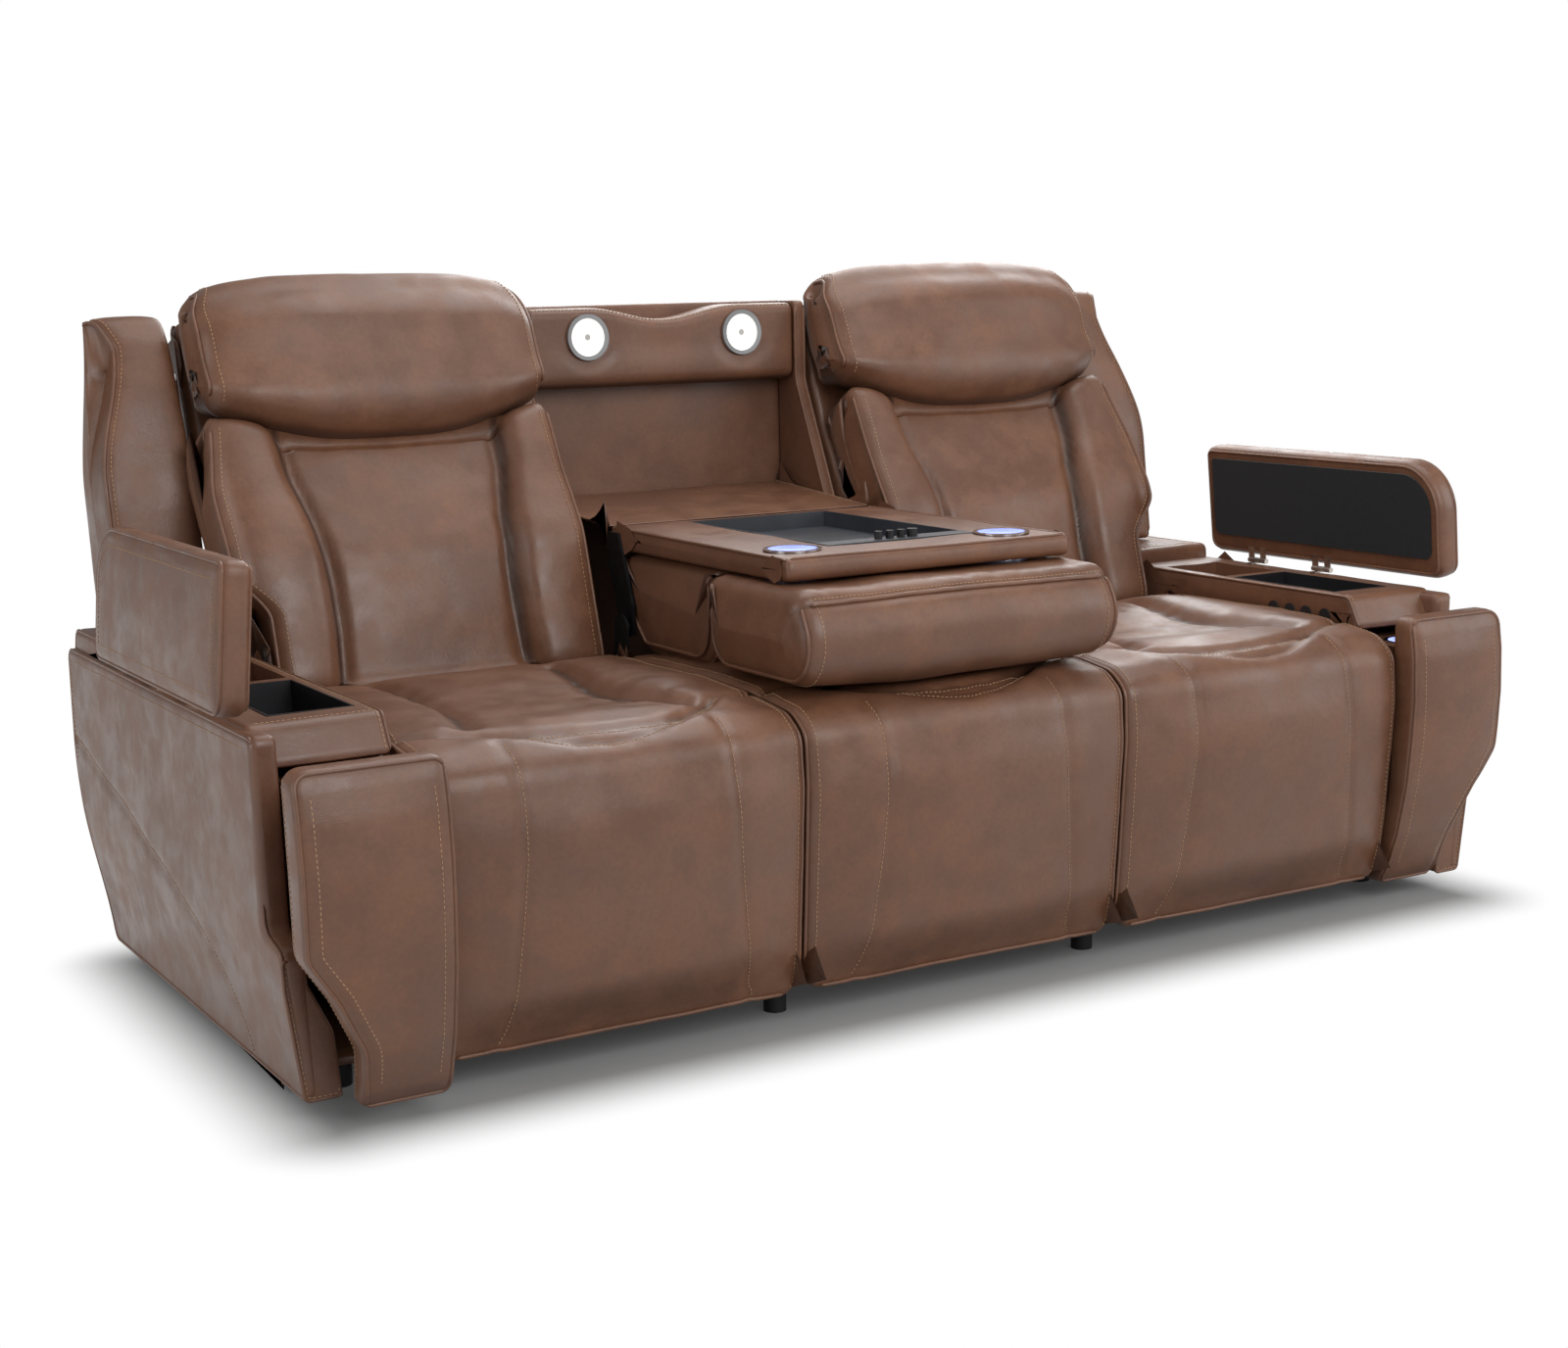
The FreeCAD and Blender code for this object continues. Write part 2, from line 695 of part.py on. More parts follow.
def closed_box():
    """Box behind the right drawer front, pushed in: bottom, two sides, back and top deck."""
    y_span = (PANEL_BACK, PANEL_BACK + BOX_LENGTH)
    inner = (BOX_SPAN[0] + BOX_WALL, BOX_SPAN[1] - BOX_WALL)
    side_z = (BOX_BOTTOM, BOX_TOP)
    deck = block(inner, (y_span[0], y_span[0] + DECK_LENGTH), (BOX_TOP - BOX_WALL, BOX_TOP))
    well = rod((CUP_CENTRE[0], CUP_CENTRE[1], 0), (0, 0, 1), CUP_RADIUS + SLIDE_GAP, BOX_TOP + 1)
    return [
        block(inner, y_span, (BOX_BOTTOM, BOX_BOTTOM + BOX_WALL)),
        block((BOX_SPAN[0], inner[0]), y_span, side_z),
        block((inner[1], BOX_SPAN[1]), y_span, side_z),
        block(inner, (y_span[1] - BOX_WALL, y_span[1]), (BOX_BOTTOM + BOX_WALL, BOX_TOP)),
        deck.cut(well),
    ]


def cup(x, y, rim_z, radius, depth):
    """Open cup with a flat rim, standing in a round hole."""
    outer = rod((x, y, rim_z - depth), (0, 0, 1), radius, depth)
    flange = rod((x, y, rim_z), (0, 0, 1), radius + RIM, CUP_WALL)
    inner = rod((x, y, rim_z - depth + CUP_WALL), (0, 0, 1), radius - CUP_WALL, depth + CUP_WALL)
    return outer.fuse(flange).cut(inner).removeSplitter()


def closed_cup():
    """Chrome cup in the deck of the right drawer, pushed in."""
    return [cup(CUP_CENTRE[0], CUP_CENTRE[1], BOX_TOP, CUP_RADIUS, CUP_DEPTH)]


def drawer_runners():
    """Slide rails on the seat-side wall and on the outer board of each arm."""
    middle = BOX_BOTTOM + 100
    z_span = (middle, middle + RUNNER_HEIGHT)
    y_span = (PANEL_BACK + 65, PANEL_BACK + 65 + BOX_LENGTH)
    inner = block((CAVITY[0], CAVITY[0] + RUNNER_THICK), y_span, z_span)
    outer = block((CAVITY[1] - RUNNER_THICK, CAVITY[1]), y_span, z_span)
    return both_sides([inner, outer])


# Lids

def hinge_notches():
    """Spaces for the knuckles in the hinge edge of the right lid."""
    half = 1.5 * KNUCKLE_LENGTH + 1
    return [
        block(
            (LID_AXIS[0] - KNUCKLE_RADIUS - 4, LID_AXIS[0] + 2),
            (y - half, y + half),
            (LID_AXIS[1] - 2, LID_AXIS[1] + KNUCKLE_RADIUS + 1),
        )
        for y in HINGE_PLACES
    ]


def closed_lid_pad(front_round, rear_round):
    """Padded lid of the right console, lying closed, with two rounds on its free edge."""
    x_span = (LID_AXIS[0] - 6 - LID_WIDTH, LID_AXIS[0] - 6)
    shape = [
        (x_span[0], LID_FRONT, front_round),
        (x_span[1], LID_FRONT, 25),
        (x_span[1], LID_REAR, 25),
        (x_span[0], LID_REAR, rear_round),
    ]
    pad = prism("z", shape, (LID_AXIS[1], LID_AXIS[1] + LID_THICK))
    section = [
        (x_span[0], LID_AXIS[1], 10),
        (x_span[1], LID_AXIS[1], 2),
        (x_span[1], LID_AXIS[1] + LID_THICK, 16),
        (x_span[0], LID_AXIS[1] + LID_THICK, 18),
    ]
    pad = pad.common(prism("y", section, (LID_FRONT - 1, LID_REAR + 1)))
    for notch in hinge_notches():
        pad = pad.cut(notch)
    return pad


def closed_liner(front_round, rear_round):
    """Black board under the right lid."""
    margin = LINER_MARGIN
    low = LID_AXIS[0] - 6 - LID_WIDTH + margin
    high = LID_AXIS[0] - 6 - margin - 14
    shape = [
        (low, LID_FRONT + margin, max(front_round - margin, 6)),
        (high, LID_FRONT + margin, 15),
        (high, LID_REAR - margin, 15),
        (low, LID_REAR - margin, max(rear_round - margin, 6)),
    ]
    return prism("z", shape, (LID_AXIS[1] - LINER, LID_AXIS[1]))


def closed_lid_leaves():
    """Moving half of each hinge: a leaf under the lid and two knuckles on the pin."""
    solids = []
    x, z = LID_AXIS
    for y in HINGE_PLACES:
        for side in (-1, 1):
            start = y + side * KNUCKLE_LENGTH - KNUCKLE_LENGTH / 2
            tube = rod((x, start, z), (0, 1, 0), KNUCKLE_RADIUS, KNUCKLE_LENGTH)
            web = block((x - 26, x), (start, start + KNUCKLE_LENGTH), (z - 1.5, z))
            hole = rod((x, start - 1, z), (0, 1, 0), KNUCKLE_RADIUS / 2 + PIN_GAP, KNUCKLE_LENGTH + 2)
            solids.append(tube.fuse(web).cut(hole))
    return solids


def lid_hinge_plates():
    """Fixed half of each hinge: a plate on the console and a knuckle with its pin."""
    solids = []
    x, z = LID_AXIS
    gap = 0.5
    for y in HINGE_PLACES:
        start = y - KNUCKLE_LENGTH / 2 + gap
        length = KNUCKLE_LENGTH - 2 * gap
        plate = block((x - 24, x), (start, start + length), (ARM_HEIGHT, ARM_HEIGHT + 2))
        tube = rod((x, start, z), (0, 1, 0), KNUCKLE_RADIUS, length)
        pin = rod((x, y - 1.5 * KNUCKLE_LENGTH, z), (0, 1, 0), KNUCKLE_RADIUS / 2, 3 * KNUCKLE_LENGTH)
        solids.append(plate.fuse(tube).fuse(pin))
    return both_sides(solids)


def side_wings():
    """Padded towers on the raised blocks behind the arms."""
    low = BLOCK_TOP
    high = TOWER_HEIGHT
    inner = ARM_INNER + WING_INSET
    outer = ARM_OUTER - WING_SHRINK
    side = [
        (ARM_REAR - 180, low, 0),
        (ARM_REAR - 150, low + 220, 200),
        (ARM_REAR - 100, low + 360, 200),
        (ARM_REAR - 50, high - 30, 30),
        (ARM_REAR - 20, high, 18),
        (ARM_REAR, high, 10),
        (ARM_REAR, low + 250, 100),
        (ARM_REAR - 22, low, 0),
    ]
    front = [
        (inner, low, 0),
        (outer, low, 0),
        (outer, low + 220, 100),
        (outer - 21, high, 12),
        (inner, high, 12),
    ]
    tower = prism("x", side, (inner, outer))
    return both_sides([tower.common(prism("y", front, (ARM_REAR - 200, ARM_REAR + 20)))])


# Middle tower

def back_shell():
    """Middle tower sides and rear wall, and the lower rear panels behind the end seats."""
    wall_bottom = RAIL_BOTTOM
    side = prism(
        "x",
        [
            (ARM_REAR - 60, wall_bottom, 0),
            (WALL_FRONT, wall_bottom, 0),
            (WALL_FRONT, TOWER_HEIGHT + 4, 0),
            (WALL_FRONT - LAMP_PANEL_DEPTH - 4, TOWER_HEIGHT + 4, 12),
            (WALL_FRONT - LAMP_PANEL_DEPTH - 4, LAMP_PANEL_BOTTOM, 60),
            (ARM_REAR - 220, 600, 100),
            (ARM_REAR - 240, 420, 10),
            (ARM_REAR - 60, 380, 0),
        ],
        (SHELL_EDGE - TOWER_WALL, SHELL_EDGE),
    )
    rail_cut = block((0, ARM_INNER), (RAIL_FRONT, ARM_REAR - BOARD - 8.0), (RAIL_BOTTOM - 1, RAIL_TOP))
    side = side.cut(rail_cut)
    rear = block((-SHELL_EDGE, SHELL_EDGE), (WALL_FRONT, TOWER_REAR), (wall_bottom, TOWER_HEIGHT + 4))
    lower_rear = ARM_REAR - BOARD - 8.0
    lower = block((SHELL_EDGE, ARM_INNER), (lower_rear, lower_rear + BOARD), (wall_bottom, 400))
    return [rear] + both_sides([side, lower])


def light_panel():
    """Padded panel of the middle tower with two lamp wells."""
    half = SHELL_EDGE - TOWER_WALL
    front = WALL_FRONT - LAMP_PANEL_DEPTH
    panel = block((-half, half), (front, WALL_FRONT), (LAMP_PANEL_BOTTOM, TOWER_HEIGHT))
    dip_radius = 260.0
    dip_height = TOWER_HEIGHT + dip_radius - 22.0
    panel = panel.cut(rod((0, front - 1, dip_height), (0, 1, 0), dip_radius, LAMP_PANEL_DEPTH + 2))
    for x in (-LAMP_SPACING / 2, LAMP_SPACING / 2):
        panel = panel.cut(rod((x, front - 1, LAMP_HEIGHT), (0, 1, 0), LAMP_RADIUS, LAMP_DEPTH + 1))
    return [panel]


def light_bezels():
    """Ring around each reading lamp."""
    front = WALL_FRONT - LAMP_PANEL_DEPTH - 4
    x = LAMP_SPACING / 2
    ring = rod((x, front, LAMP_HEIGHT), (0, 1, 0), LAMP_RADIUS, LAMP_DEPTH + 4)
    bore = rod((x, front - 1, LAMP_HEIGHT), (0, 1, 0), LENS_RADIUS, LAMP_DEPTH + 6)
    return both_sides([ring.cut(bore)])


def light_lenses():
    """Disc lens of each reading lamp."""
    front = WALL_FRONT - LAMP_PANEL_DEPTH
    x = LAMP_SPACING / 2
    return both_sides([rod((x, front, LAMP_HEIGHT), (0, 1, 0), LENS_RADIUS, LAMP_DEPTH)])


# Folding middle back

def table_top():
    """Upholstered slab with the tray opening and the cup holes."""
    shape = [
        (-TABLE_SIDE, TABLE_FRONT, 16),
        (TABLE_SIDE, TABLE_FRONT, 16),
        (TABLE_SIDE, TABLE_REAR, 8),
        (-TABLE_SIDE, TABLE_REAR, 8),
    ]
    slab = prism("z", shape, (TABLE_BOTTOM, TABLE_TOP))
    through = (TABLE_TOP - TRAY_DEPTH - TRAY_WALL, TABLE_TOP + 1)
    slab = slab.cut(block((TRAY_LEFT, TRAY_RIGHT), (STRIP_FRONT, TRAY_REAR), through))
    for x, y in TABLE_CUPS:
        slab = slab.cut(rod((x, y, TABLE_BOTTOM - 1), (0, 0, 1), TABLE_CUP_RADIUS, TABLE_THICK + 2))
    return [slab]


def table_tray():
    """Recessed tray with the control strip along its front."""
    low = TABLE_TOP - TRAY_DEPTH - TRAY_WALL
    body = block((TRAY_LEFT, TRAY_RIGHT), (STRIP_FRONT, TRAY_REAR), (low, TABLE_TOP))
    hollow = block(
        (TRAY_LEFT + TRAY_WALL, TRAY_RIGHT - TRAY_WALL),
        (TRAY_FRONT, TRAY_REAR - TRAY_WALL),
        (low + TRAY_WALL, TABLE_TOP + 1),
    )
    body = body.cut(hollow)
    for i, radius in enumerate(TABLE_BUTTON_RADII):
        x = TABLE_BUTTON_START + i * TABLE_BUTTON_PITCH
        well = rod((x, TABLE_BUTTON_Y, TABLE_TOP - 8), (0, 0, 1), radius + SLIDE_GAP, 9)
        body = body.cut(well)
    return [body]


def table_button(index):
    """Cylindrical push button of the control strip."""
    x = TABLE_BUTTON_START + index * TABLE_BUTTON_PITCH
    low = TABLE_TOP - 8 + BUTTON_TRAVEL
    return [rod((x, TABLE_BUTTON_Y, low), (0, 0, 1), TABLE_BUTTON_RADII[index], TABLE_BUTTON_HEIGHT)]


def table_cups():
    """Two cups in the slab."""
    return [cup(x, y, TABLE_TOP, TABLE_CUP_RADIUS, TABLE_CUP_DEPTH) for x, y in TABLE_CUPS]


def cup_wells():
    """Spaces that the cups need below the slab."""
    low = TABLE_TOP - TABLE_CUP_DEPTH - 1
    return [rod((x, y, low), (0, 0, 1), TABLE_CUP_RADIUS + 1, TABLE_CUP_DEPTH) for x, y in TABLE_CUPS]


def table_cushion():
    """Back cushion under the slab, toward the rear."""
    profile = [
        (TABLE_REAR - 16, TABLE_BOTTOM, 5),
        (TABLE_PIVOT[0] + 20, FOLD_CUSHION_BOTTOM + 60, 60),
        (TABLE_PIVOT[0] - 40, FOLD_CUSHION_BOTTOM, 25),
        (FOLD_CUSHION_FRONT + 6, FOLD_CUSHION_BOTTOM, 50),
        (FOLD_CUSHION_FRONT, TABLE_BOTTOM, 20),
    ]
    return [prism("x", profile, (-TABLE_SIDE + 4, TABLE_SIDE - 4))]


def table_bolster():
    """Headrest under the slab, at the front."""
    profile = [
        (BOLSTER_BACK, TABLE_BOTTOM, 20),
        (BOLSTER_BACK, BOLSTER_BOTTOM, 60),
        (BOLSTER_FRONT + 40, BOLSTER_BOTTOM, 50),
        (BOLSTER_FRONT, BOLSTER_BOTTOM + 62, 60),
        (BOLSTER_FRONT + 40, TABLE_BOTTOM, 30),
    ]
    half = TABLE_SIDE + BOLSTER_OVERHANG
    bolster = prism("x", profile, (-half, half))
    for well in cup_wells():
        bolster = bolster.cut(well)
    return [bolster]


def table_brackets():
    """Side plates that turn on the table pivot and carry the slab."""
    y, z = TABLE_PIVOT
    profile = [
        (y - 18, z - 16, 14),
        (y + 18, z - 16, 14),
        (TABLE_REAR, TABLE_BOTTOM - 20, 10),
        (TABLE_REAR, TABLE_TOP - 8, 5),
        (TABLE_REAR - 40, TABLE_TOP - 8, 5),
        (y - 18, z + 40, 20),
    ]
    plate = prism("x", profile, (TABLE_SIDE, TABLE_SIDE + BRACKET))
    hole = cross_bar(TABLE_PIVOT, (TABLE_SIDE - 1, TABLE_SIDE + BRACKET + 1), TABLE_PIN_RADIUS + PIN_GAP)
    return both_sides([plate.cut(hole)])


def bridge_flap():
    """Leather from the rear edge of the slab to the rear wall."""
    high = TABLE_TOP
    profile = [
        (TABLE_REAR, high - FLAP_THICK, 0),
        (WALL_FRONT, FLAP_REAR_HEIGHT - FLAP_THICK, 0),
        (WALL_FRONT, FLAP_REAR_HEIGHT, 0),
        (TABLE_REAR, high, 0),
    ]
    return [prism("x", profile, (-TABLE_SIDE, TABLE_SIDE))]


# Sub-parts on the middle and on the frame

SINGLE = {
    "base_rails": base_rails,
    "glides": glides,
    "mechanism_plates": mechanism_plates,
    "drive_motors": drive_motors,
    "middle_seat": middle_seat,
    "console_bins": console_bins,
    "drawer_runners": drawer_runners,
    "lid_hinge_plates": lid_hinge_plates,
    "side_wings": side_wings,
    "back_shell": back_shell,
    "light_panel": light_panel,
    "light_bezels": light_bezels,
    "light_lenses": light_lenses,
    "table_top": table_top,
    "table_tray": table_tray,
    "table_cups": table_cups,
    "table_cushion": table_cushion,
    "table_bolster": table_bolster,
    "table_brackets": table_brackets,
    "bridge_flap": bridge_flap,
}
for node, make in SINGLE.items():
    export(node, make())
for i in range(len(TABLE_BUTTON_RADII)):
    export("table_button_" + str(i + 1), table_button(i))

# Sub-parts of each side, made on the right and mirrored to the left

PAIRED = {
    "seat": right_seat(),
    "footrest": right_footrest(),
    "drive_links": right_drive_links(),
    "back_cushion": right_back_cushion(),
    "back_frame": right_back_frame(),
    "headrest": right_headrest(),
    "arm_side": right_arm_side(),
    "console": right_console(),
    "lid_leaves": opened_lid(closed_lid_leaves()),
}
for i, place in enumerate(ARM_BUTTON_PLACES):
    PAIRED["arm_button_" + str(i + 1)] = arm_button(place)
for name, solids in PAIRED.items():
    export("right_" + name, solids)
    export("left_" + name, mirrored(solids))

# Lids, each with its large round at the other end of its free edge

export("right_lid_pad", opened_lid([closed_lid_pad(LID_ROUND, LID_CORNER)]))
export("right_lid_liner", opened_lid([closed_liner(LID_ROUND, LID_CORNER)]))
export("left_lid_pad", mirrored(opened_lid([closed_lid_pad(LID_CORNER, LID_ROUND)])))
export("left_lid_liner", mirrored(opened_lid([closed_liner(LID_CORNER, LID_ROUND)])))

# Drawers, each pulled out by its own amount

DRAWER = {
    "drawer_front": [closed_panel()],
    "drawer_box": closed_box(),
    "drawer_cup": closed_cup(),
}
for name, solids in DRAWER.items():
    export("right_" + name, shifted(solids, -RIGHT_PULL))
    export("left_" + name, shifted(mirrored(solids), -LEFT_PULL))
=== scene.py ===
# %% [markdown]
# A three-seat power sofa in brown pull-up leather, with its middle back folded down as a console.
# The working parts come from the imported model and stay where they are. Everything that is
# upholstered is made here as a leather cover: a side profile swept across the piece, with its
# seams drawn flat on it as on a cutting pattern, then puffed, creased, piped and stitched.

# %% Load the frame
import math
import bmesh
import bpy
import numpy as np
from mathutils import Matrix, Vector
from mathutils.geometry import delaunay_2d_cdt


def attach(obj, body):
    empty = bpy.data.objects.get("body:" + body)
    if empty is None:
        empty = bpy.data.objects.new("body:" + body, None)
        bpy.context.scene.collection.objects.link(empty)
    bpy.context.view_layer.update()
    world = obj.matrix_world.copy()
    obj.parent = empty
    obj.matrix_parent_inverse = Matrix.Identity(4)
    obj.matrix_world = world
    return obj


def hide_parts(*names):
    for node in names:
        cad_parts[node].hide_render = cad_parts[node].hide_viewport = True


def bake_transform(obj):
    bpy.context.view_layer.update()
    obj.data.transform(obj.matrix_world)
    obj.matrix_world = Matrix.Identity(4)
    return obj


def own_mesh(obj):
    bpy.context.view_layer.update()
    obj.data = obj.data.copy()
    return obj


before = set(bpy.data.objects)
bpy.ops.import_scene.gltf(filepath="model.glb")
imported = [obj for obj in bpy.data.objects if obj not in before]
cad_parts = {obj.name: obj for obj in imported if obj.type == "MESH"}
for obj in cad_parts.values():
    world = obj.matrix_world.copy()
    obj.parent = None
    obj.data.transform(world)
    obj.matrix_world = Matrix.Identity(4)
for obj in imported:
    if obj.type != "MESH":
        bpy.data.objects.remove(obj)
scene = bpy.context.scene
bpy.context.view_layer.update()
MM = 0.001

# %% [markdown]
# The camera stands where the photographer stood, to the left of the sofa and a little above the
# seats. Its place was found by fitting straight edges of the sofa, so it is written as a position
# and three angles. The frame is not centred on the view axis, which a small vertical shift gives.

# %% Camera
IMAGE = (1600, 1376)
FOCAL_PIXELS = 2338.36
AXIS_PIXEL = (800.35, 850.44)
CAMERA_PLACE = (-1.9664, -3.2473, 1.0900)
YAW, PITCH, ROLL = 0.531, 0.239, -0.021


def camera_axes():
    """Right, up and forward directions of the camera from its yaw, pitch and roll."""
    right = np.array((math.cos(YAW), -math.sin(YAW), 0.0))
    level = np.array((math.sin(YAW), math.cos(YAW), 0.0))
    forward = level * math.cos(PITCH) - np.array((0.0, 0.0, math.sin(PITCH)))
    up = np.cross(right, forward)
    tilted = right * math.cos(ROLL) + up * math.sin(ROLL)
    upright = up * math.cos(ROLL) - right * math.sin(ROLL)
    return tilted, upright, forward


def matrix_from(x_axis, y_axis, z_axis, place):
    """4x4 rows of a matrix with these columns."""
    rows = [[x_axis[i], y_axis[i], z_axis[i], place[i]] for i in range(3)]
    return rows + [[0, 0, 0, 1]]


camera = bpy.data.objects.new("camera", bpy.data.cameras.new("camera"))
scene.collection.objects.link(camera)
axes = camera_axes()
camera.matrix_world = np.transpose(matrix_from(axes[0], axes[1], -axes[2], CAMERA_PLACE)).tolist()
camera.data.sensor_width = 36.0
camera.data.lens = FOCAL_PIXELS * camera.data.sensor_width / IMAGE[0]
camera.data.shift_x = (IMAGE[0] / 2 - AXIS_PIXEL[0]) / IMAGE[0]
camera.data.shift_y = (AXIS_PIXEL[1] - IMAGE[1] / 2) / IMAGE[0]
scene.camera = camera
print("lens", round(camera.data.lens, 2), "shift", round(camera.data.shift_y, 4))

# %% [markdown]
# Shader maths reads best as plain arithmetic. A Wire is one output socket: adding or multiplying
# wires adds Math nodes. A Finish is one material, and its add() places any other node from its
# type, its settings and the values of its sockets.

# %% Material helpers
class Wire:
    """One output socket of a finish, which can be used in sums."""

    def __init__(self, finish, socket):
        self.finish = finish
        self.socket = socket

    def maths(self, operation, first, second):
        return self.finish.add("ShaderNodeMath", {"operation": operation}, {0: first, 1: second})

    def __add__(self, other):
        return self.maths("ADD", self, other)

    def __radd__(self, other):
        return self.maths("ADD", other, self)

    def __sub__(self, other):
        return self.maths("SUBTRACT", self, other)

    def __rsub__(self, other):
        return self.maths("SUBTRACT", other, self)

    def __mul__(self, other):
        return self.maths("MULTIPLY", self, other)

    def __rmul__(self, other):
        return self.maths("MULTIPLY", other, self)


class Finish:
    """One material with a Principled surface."""

    def __init__(self, name, **constants):
        self.material = bpy.data.materials.new(name)
        self.material.use_nodes = True
        self.tree = self.material.node_tree
        self.surface = self.tree.nodes["Principled BSDF"]
        for socket, value in constants.items():
            self.set(socket.replace("_", " "), value)

    def add(self, kind, settings=None, inputs=None, output=0):
        node = self.tree.nodes.new(kind)
        for key, value in (settings or {}).items():
            if key == "stops":
                self.set_stops(node.color_ramp, value)
            else:
                setattr(node, key, value)
        for key, value in (inputs or {}).items():
            self.plug(node.inputs[key], value)
        return Wire(self, node.outputs[output])

    def set_stops(self, ramp, stops):
        while len(ramp.elements) < len(stops):
            ramp.elements.new(1.0)
        for element, (place, colour) in zip(ramp.elements, stops):
            element.position = place
            element.color = (*colour, 1.0)

    def plug(self, socket, value):
        if isinstance(value, Wire):
            self.tree.links.new(value.socket, socket)
        else:
            socket.default_value = value

    def set(self, socket, value):
        """Value or wire of a socket of the surface."""
        if not isinstance(value, Wire) and isinstance(value, tuple) and len(value) == 3:
            value = (*value, 1.0) if socket != "Normal" else value
        self.plug(self.surface.inputs[socket], value)

    def place(self):
        """Position on the object, in metres."""
        return self.add("ShaderNodeTexCoord", output="Object")

    def noise(self, place, scale, detail=3.0, roughness=0.5):
        inputs = {"Vector": place, "Scale": scale, "Detail": detail, "Roughness": roughness}
        return self.add("ShaderNodeTexNoise", {}, inputs)

    def mix(self, factor, first, second, mode="MIX"):
        """Colour mix of two colours or wires."""
        settings = {"data_type": "RGBA", "blend_type": mode}
        pair = [(*c, 1.0) if isinstance(c, tuple) else c for c in (first, second)]
        return self.add("ShaderNodeMix", settings, {0: factor, 6: pair[0], 7: pair[1]}, output=2)

    def within(self, value, low, high, to_low=0.0, to_high=1.0):
        """Value stretched from one range to another and held inside it."""
        inputs = {0: value, 1: low, 2: high, 3: to_low, 4: to_high}
        return self.add("ShaderNodeMapRange", {"interpolation_type": "SMOOTHSTEP"}, inputs)

    def bump(self, height, strength, distance):
        inputs = {"Strength": strength, "Distance": distance, "Height": height}
        self.set("Normal", self.add("ShaderNodeBump", {}, inputs))


print("material helpers ready")

# %% [markdown]
# Pull-up leather is waxed, so its colour is uneven: warm tan clouds over a cooler brown. The clouds are
# layered noise in object space, so they run on over seams as on one hide. The grain is small irregular cells
# that only bend the light. A value on the mesh paints shade into the folds and along the seams.

# %% Leather
def leather(name, tan, brown):
    """Brown leather with clouded colour, painted shade in folds and seams from a value on the mesh, and a
    fine grain.
    """
    finish = Finish(name, Specular_IOR_Level=0.6)
    place = finish.place()
    drift = finish.noise(place, 2.3, 3.0, 0.55)
    clouds = finish.noise(place, 6.5, 5.0, 0.6)
    blotch = finish.noise(place, 17.0, 4.0, 0.62)
    fine = finish.noise(place, 140.0, 4.0, 0.6)
    warm = finish.within(clouds * 0.6 + blotch * 0.4, 0.40, 0.64)
    colour = finish.mix(warm, brown, tan)
    grey = finish.within(drift * 0.55 + clouds * 0.45, 0.47, 0.66)
    colour = finish.mix(grey * 0.62, colour, COOL)
    colour = finish.mix(finish.within(fine, 0.3, 0.75) * 0.16, colour, DEEP)
    # Painted shade: the value on the mesh darkens folds, seams and tucked-under edges toward DEEP.
    wear = finish.add("ShaderNodeAttribute", {"attribute_name": "wear"}, output=2)
    colour = finish.mix(finish.within(wear, 0.0, 1.0) * 0.82, colour, DEEP)
    finish.set("Base Color", colour)
    finish.set("Roughness", 0.38 + 0.16 * finish.within(blotch, 0.3, 0.7) - 0.05 * fine)
    cells = finish.add(
        "ShaderNodeTexVoronoi",
        {"feature": "SMOOTH_F1"},
        {"Vector": place, "Scale": 520.0, "Smoothness": 0.35},
    )
    creases = finish.noise(place, 55.0, 5.0, 0.65)
    height = cells * 0.30 + fine * 0.35 + creases * 1.3
    finish.bump(height, 0.32, 0.0012)
    return finish.material


TAN = (0.196, 0.083, 0.040)
BROWN = (0.140, 0.060, 0.032)
COOL = (0.148, 0.076, 0.050)
DEEP = (0.020, 0.009, 0.006)
hide = leather("brown_leather", TAN, BROWN)
welt = leather("piping_leather", (0.200, 0.086, 0.042), (0.145, 0.064, 0.036))
thread = Finish("tan_thread", Base_Color=(0.44, 0.27, 0.15), Roughness=0.62).material
LEATHERS = [hide, welt, thread]
HIDE, WELT, THREAD = range(3)
print("leathers", [material.name for material in LEATHERS])

# %% [markdown]
# A profile is drawn like a maker's template: a few corners, each with the radius of its round.
# Straight runs and arcs are then divided evenly, so that the cover gets regular squares.

# %% Profiles
def rounded(corners, step):
    """Points along an open outline through corners (a, b, radius), with arcs at the rounds."""
    spots = [np.array(corner[:2], float) for corner in corners]
    points = [spots[0]]
    for i in range(1, len(corners) - 1):
        radius = corners[i][2]
        before = spots[i - 1] - spots[i]
        after = spots[i + 1] - spots[i]
        before /= np.linalg.norm(before)
        after /= np.linalg.norm(after)
        half = math.acos(max(-1.0, min(1.0, float(before @ after)))) / 2
        if radius < 1 or half > 1.56:
            points.append(spots[i])
            continue
        reach = radius / math.tan(half)
        bisector = (before + after) / np.linalg.norm(before + after)
        centre = spots[i] + bisector * radius / math.sin(half)
        start, end = spots[i] + before * reach - centre, spots[i] + after * reach - centre
        first = math.atan2(start[1], start[0])
        turn = math.atan2(end[1], end[0]) - first
        turn = (turn + math.pi) % (2 * math.pi) - math.pi
        for k in range(max(3, int(abs(turn) * radius / step) + 2)):
            angle = first + turn * k / (max(3, int(abs(turn) * radius / step) + 2) - 1)
            points.append(centre + radius * np.array((math.cos(angle), math.sin(angle))))
    points.append(spots[-1])
    return np.array(points)


def evenly(points, step):
    """The same line with evenly spaced points."""
    lengths = np.linalg.norm(np.diff(points, axis=0), axis=1)
    reached = np.concatenate([[0.0], np.cumsum(lengths)])
    wanted = np.linspace(0, reached[-1], max(2, round(reached[-1] / step) + 1))
    return np.column_stack([np.interp(wanted, reached, column) for column in points.T])


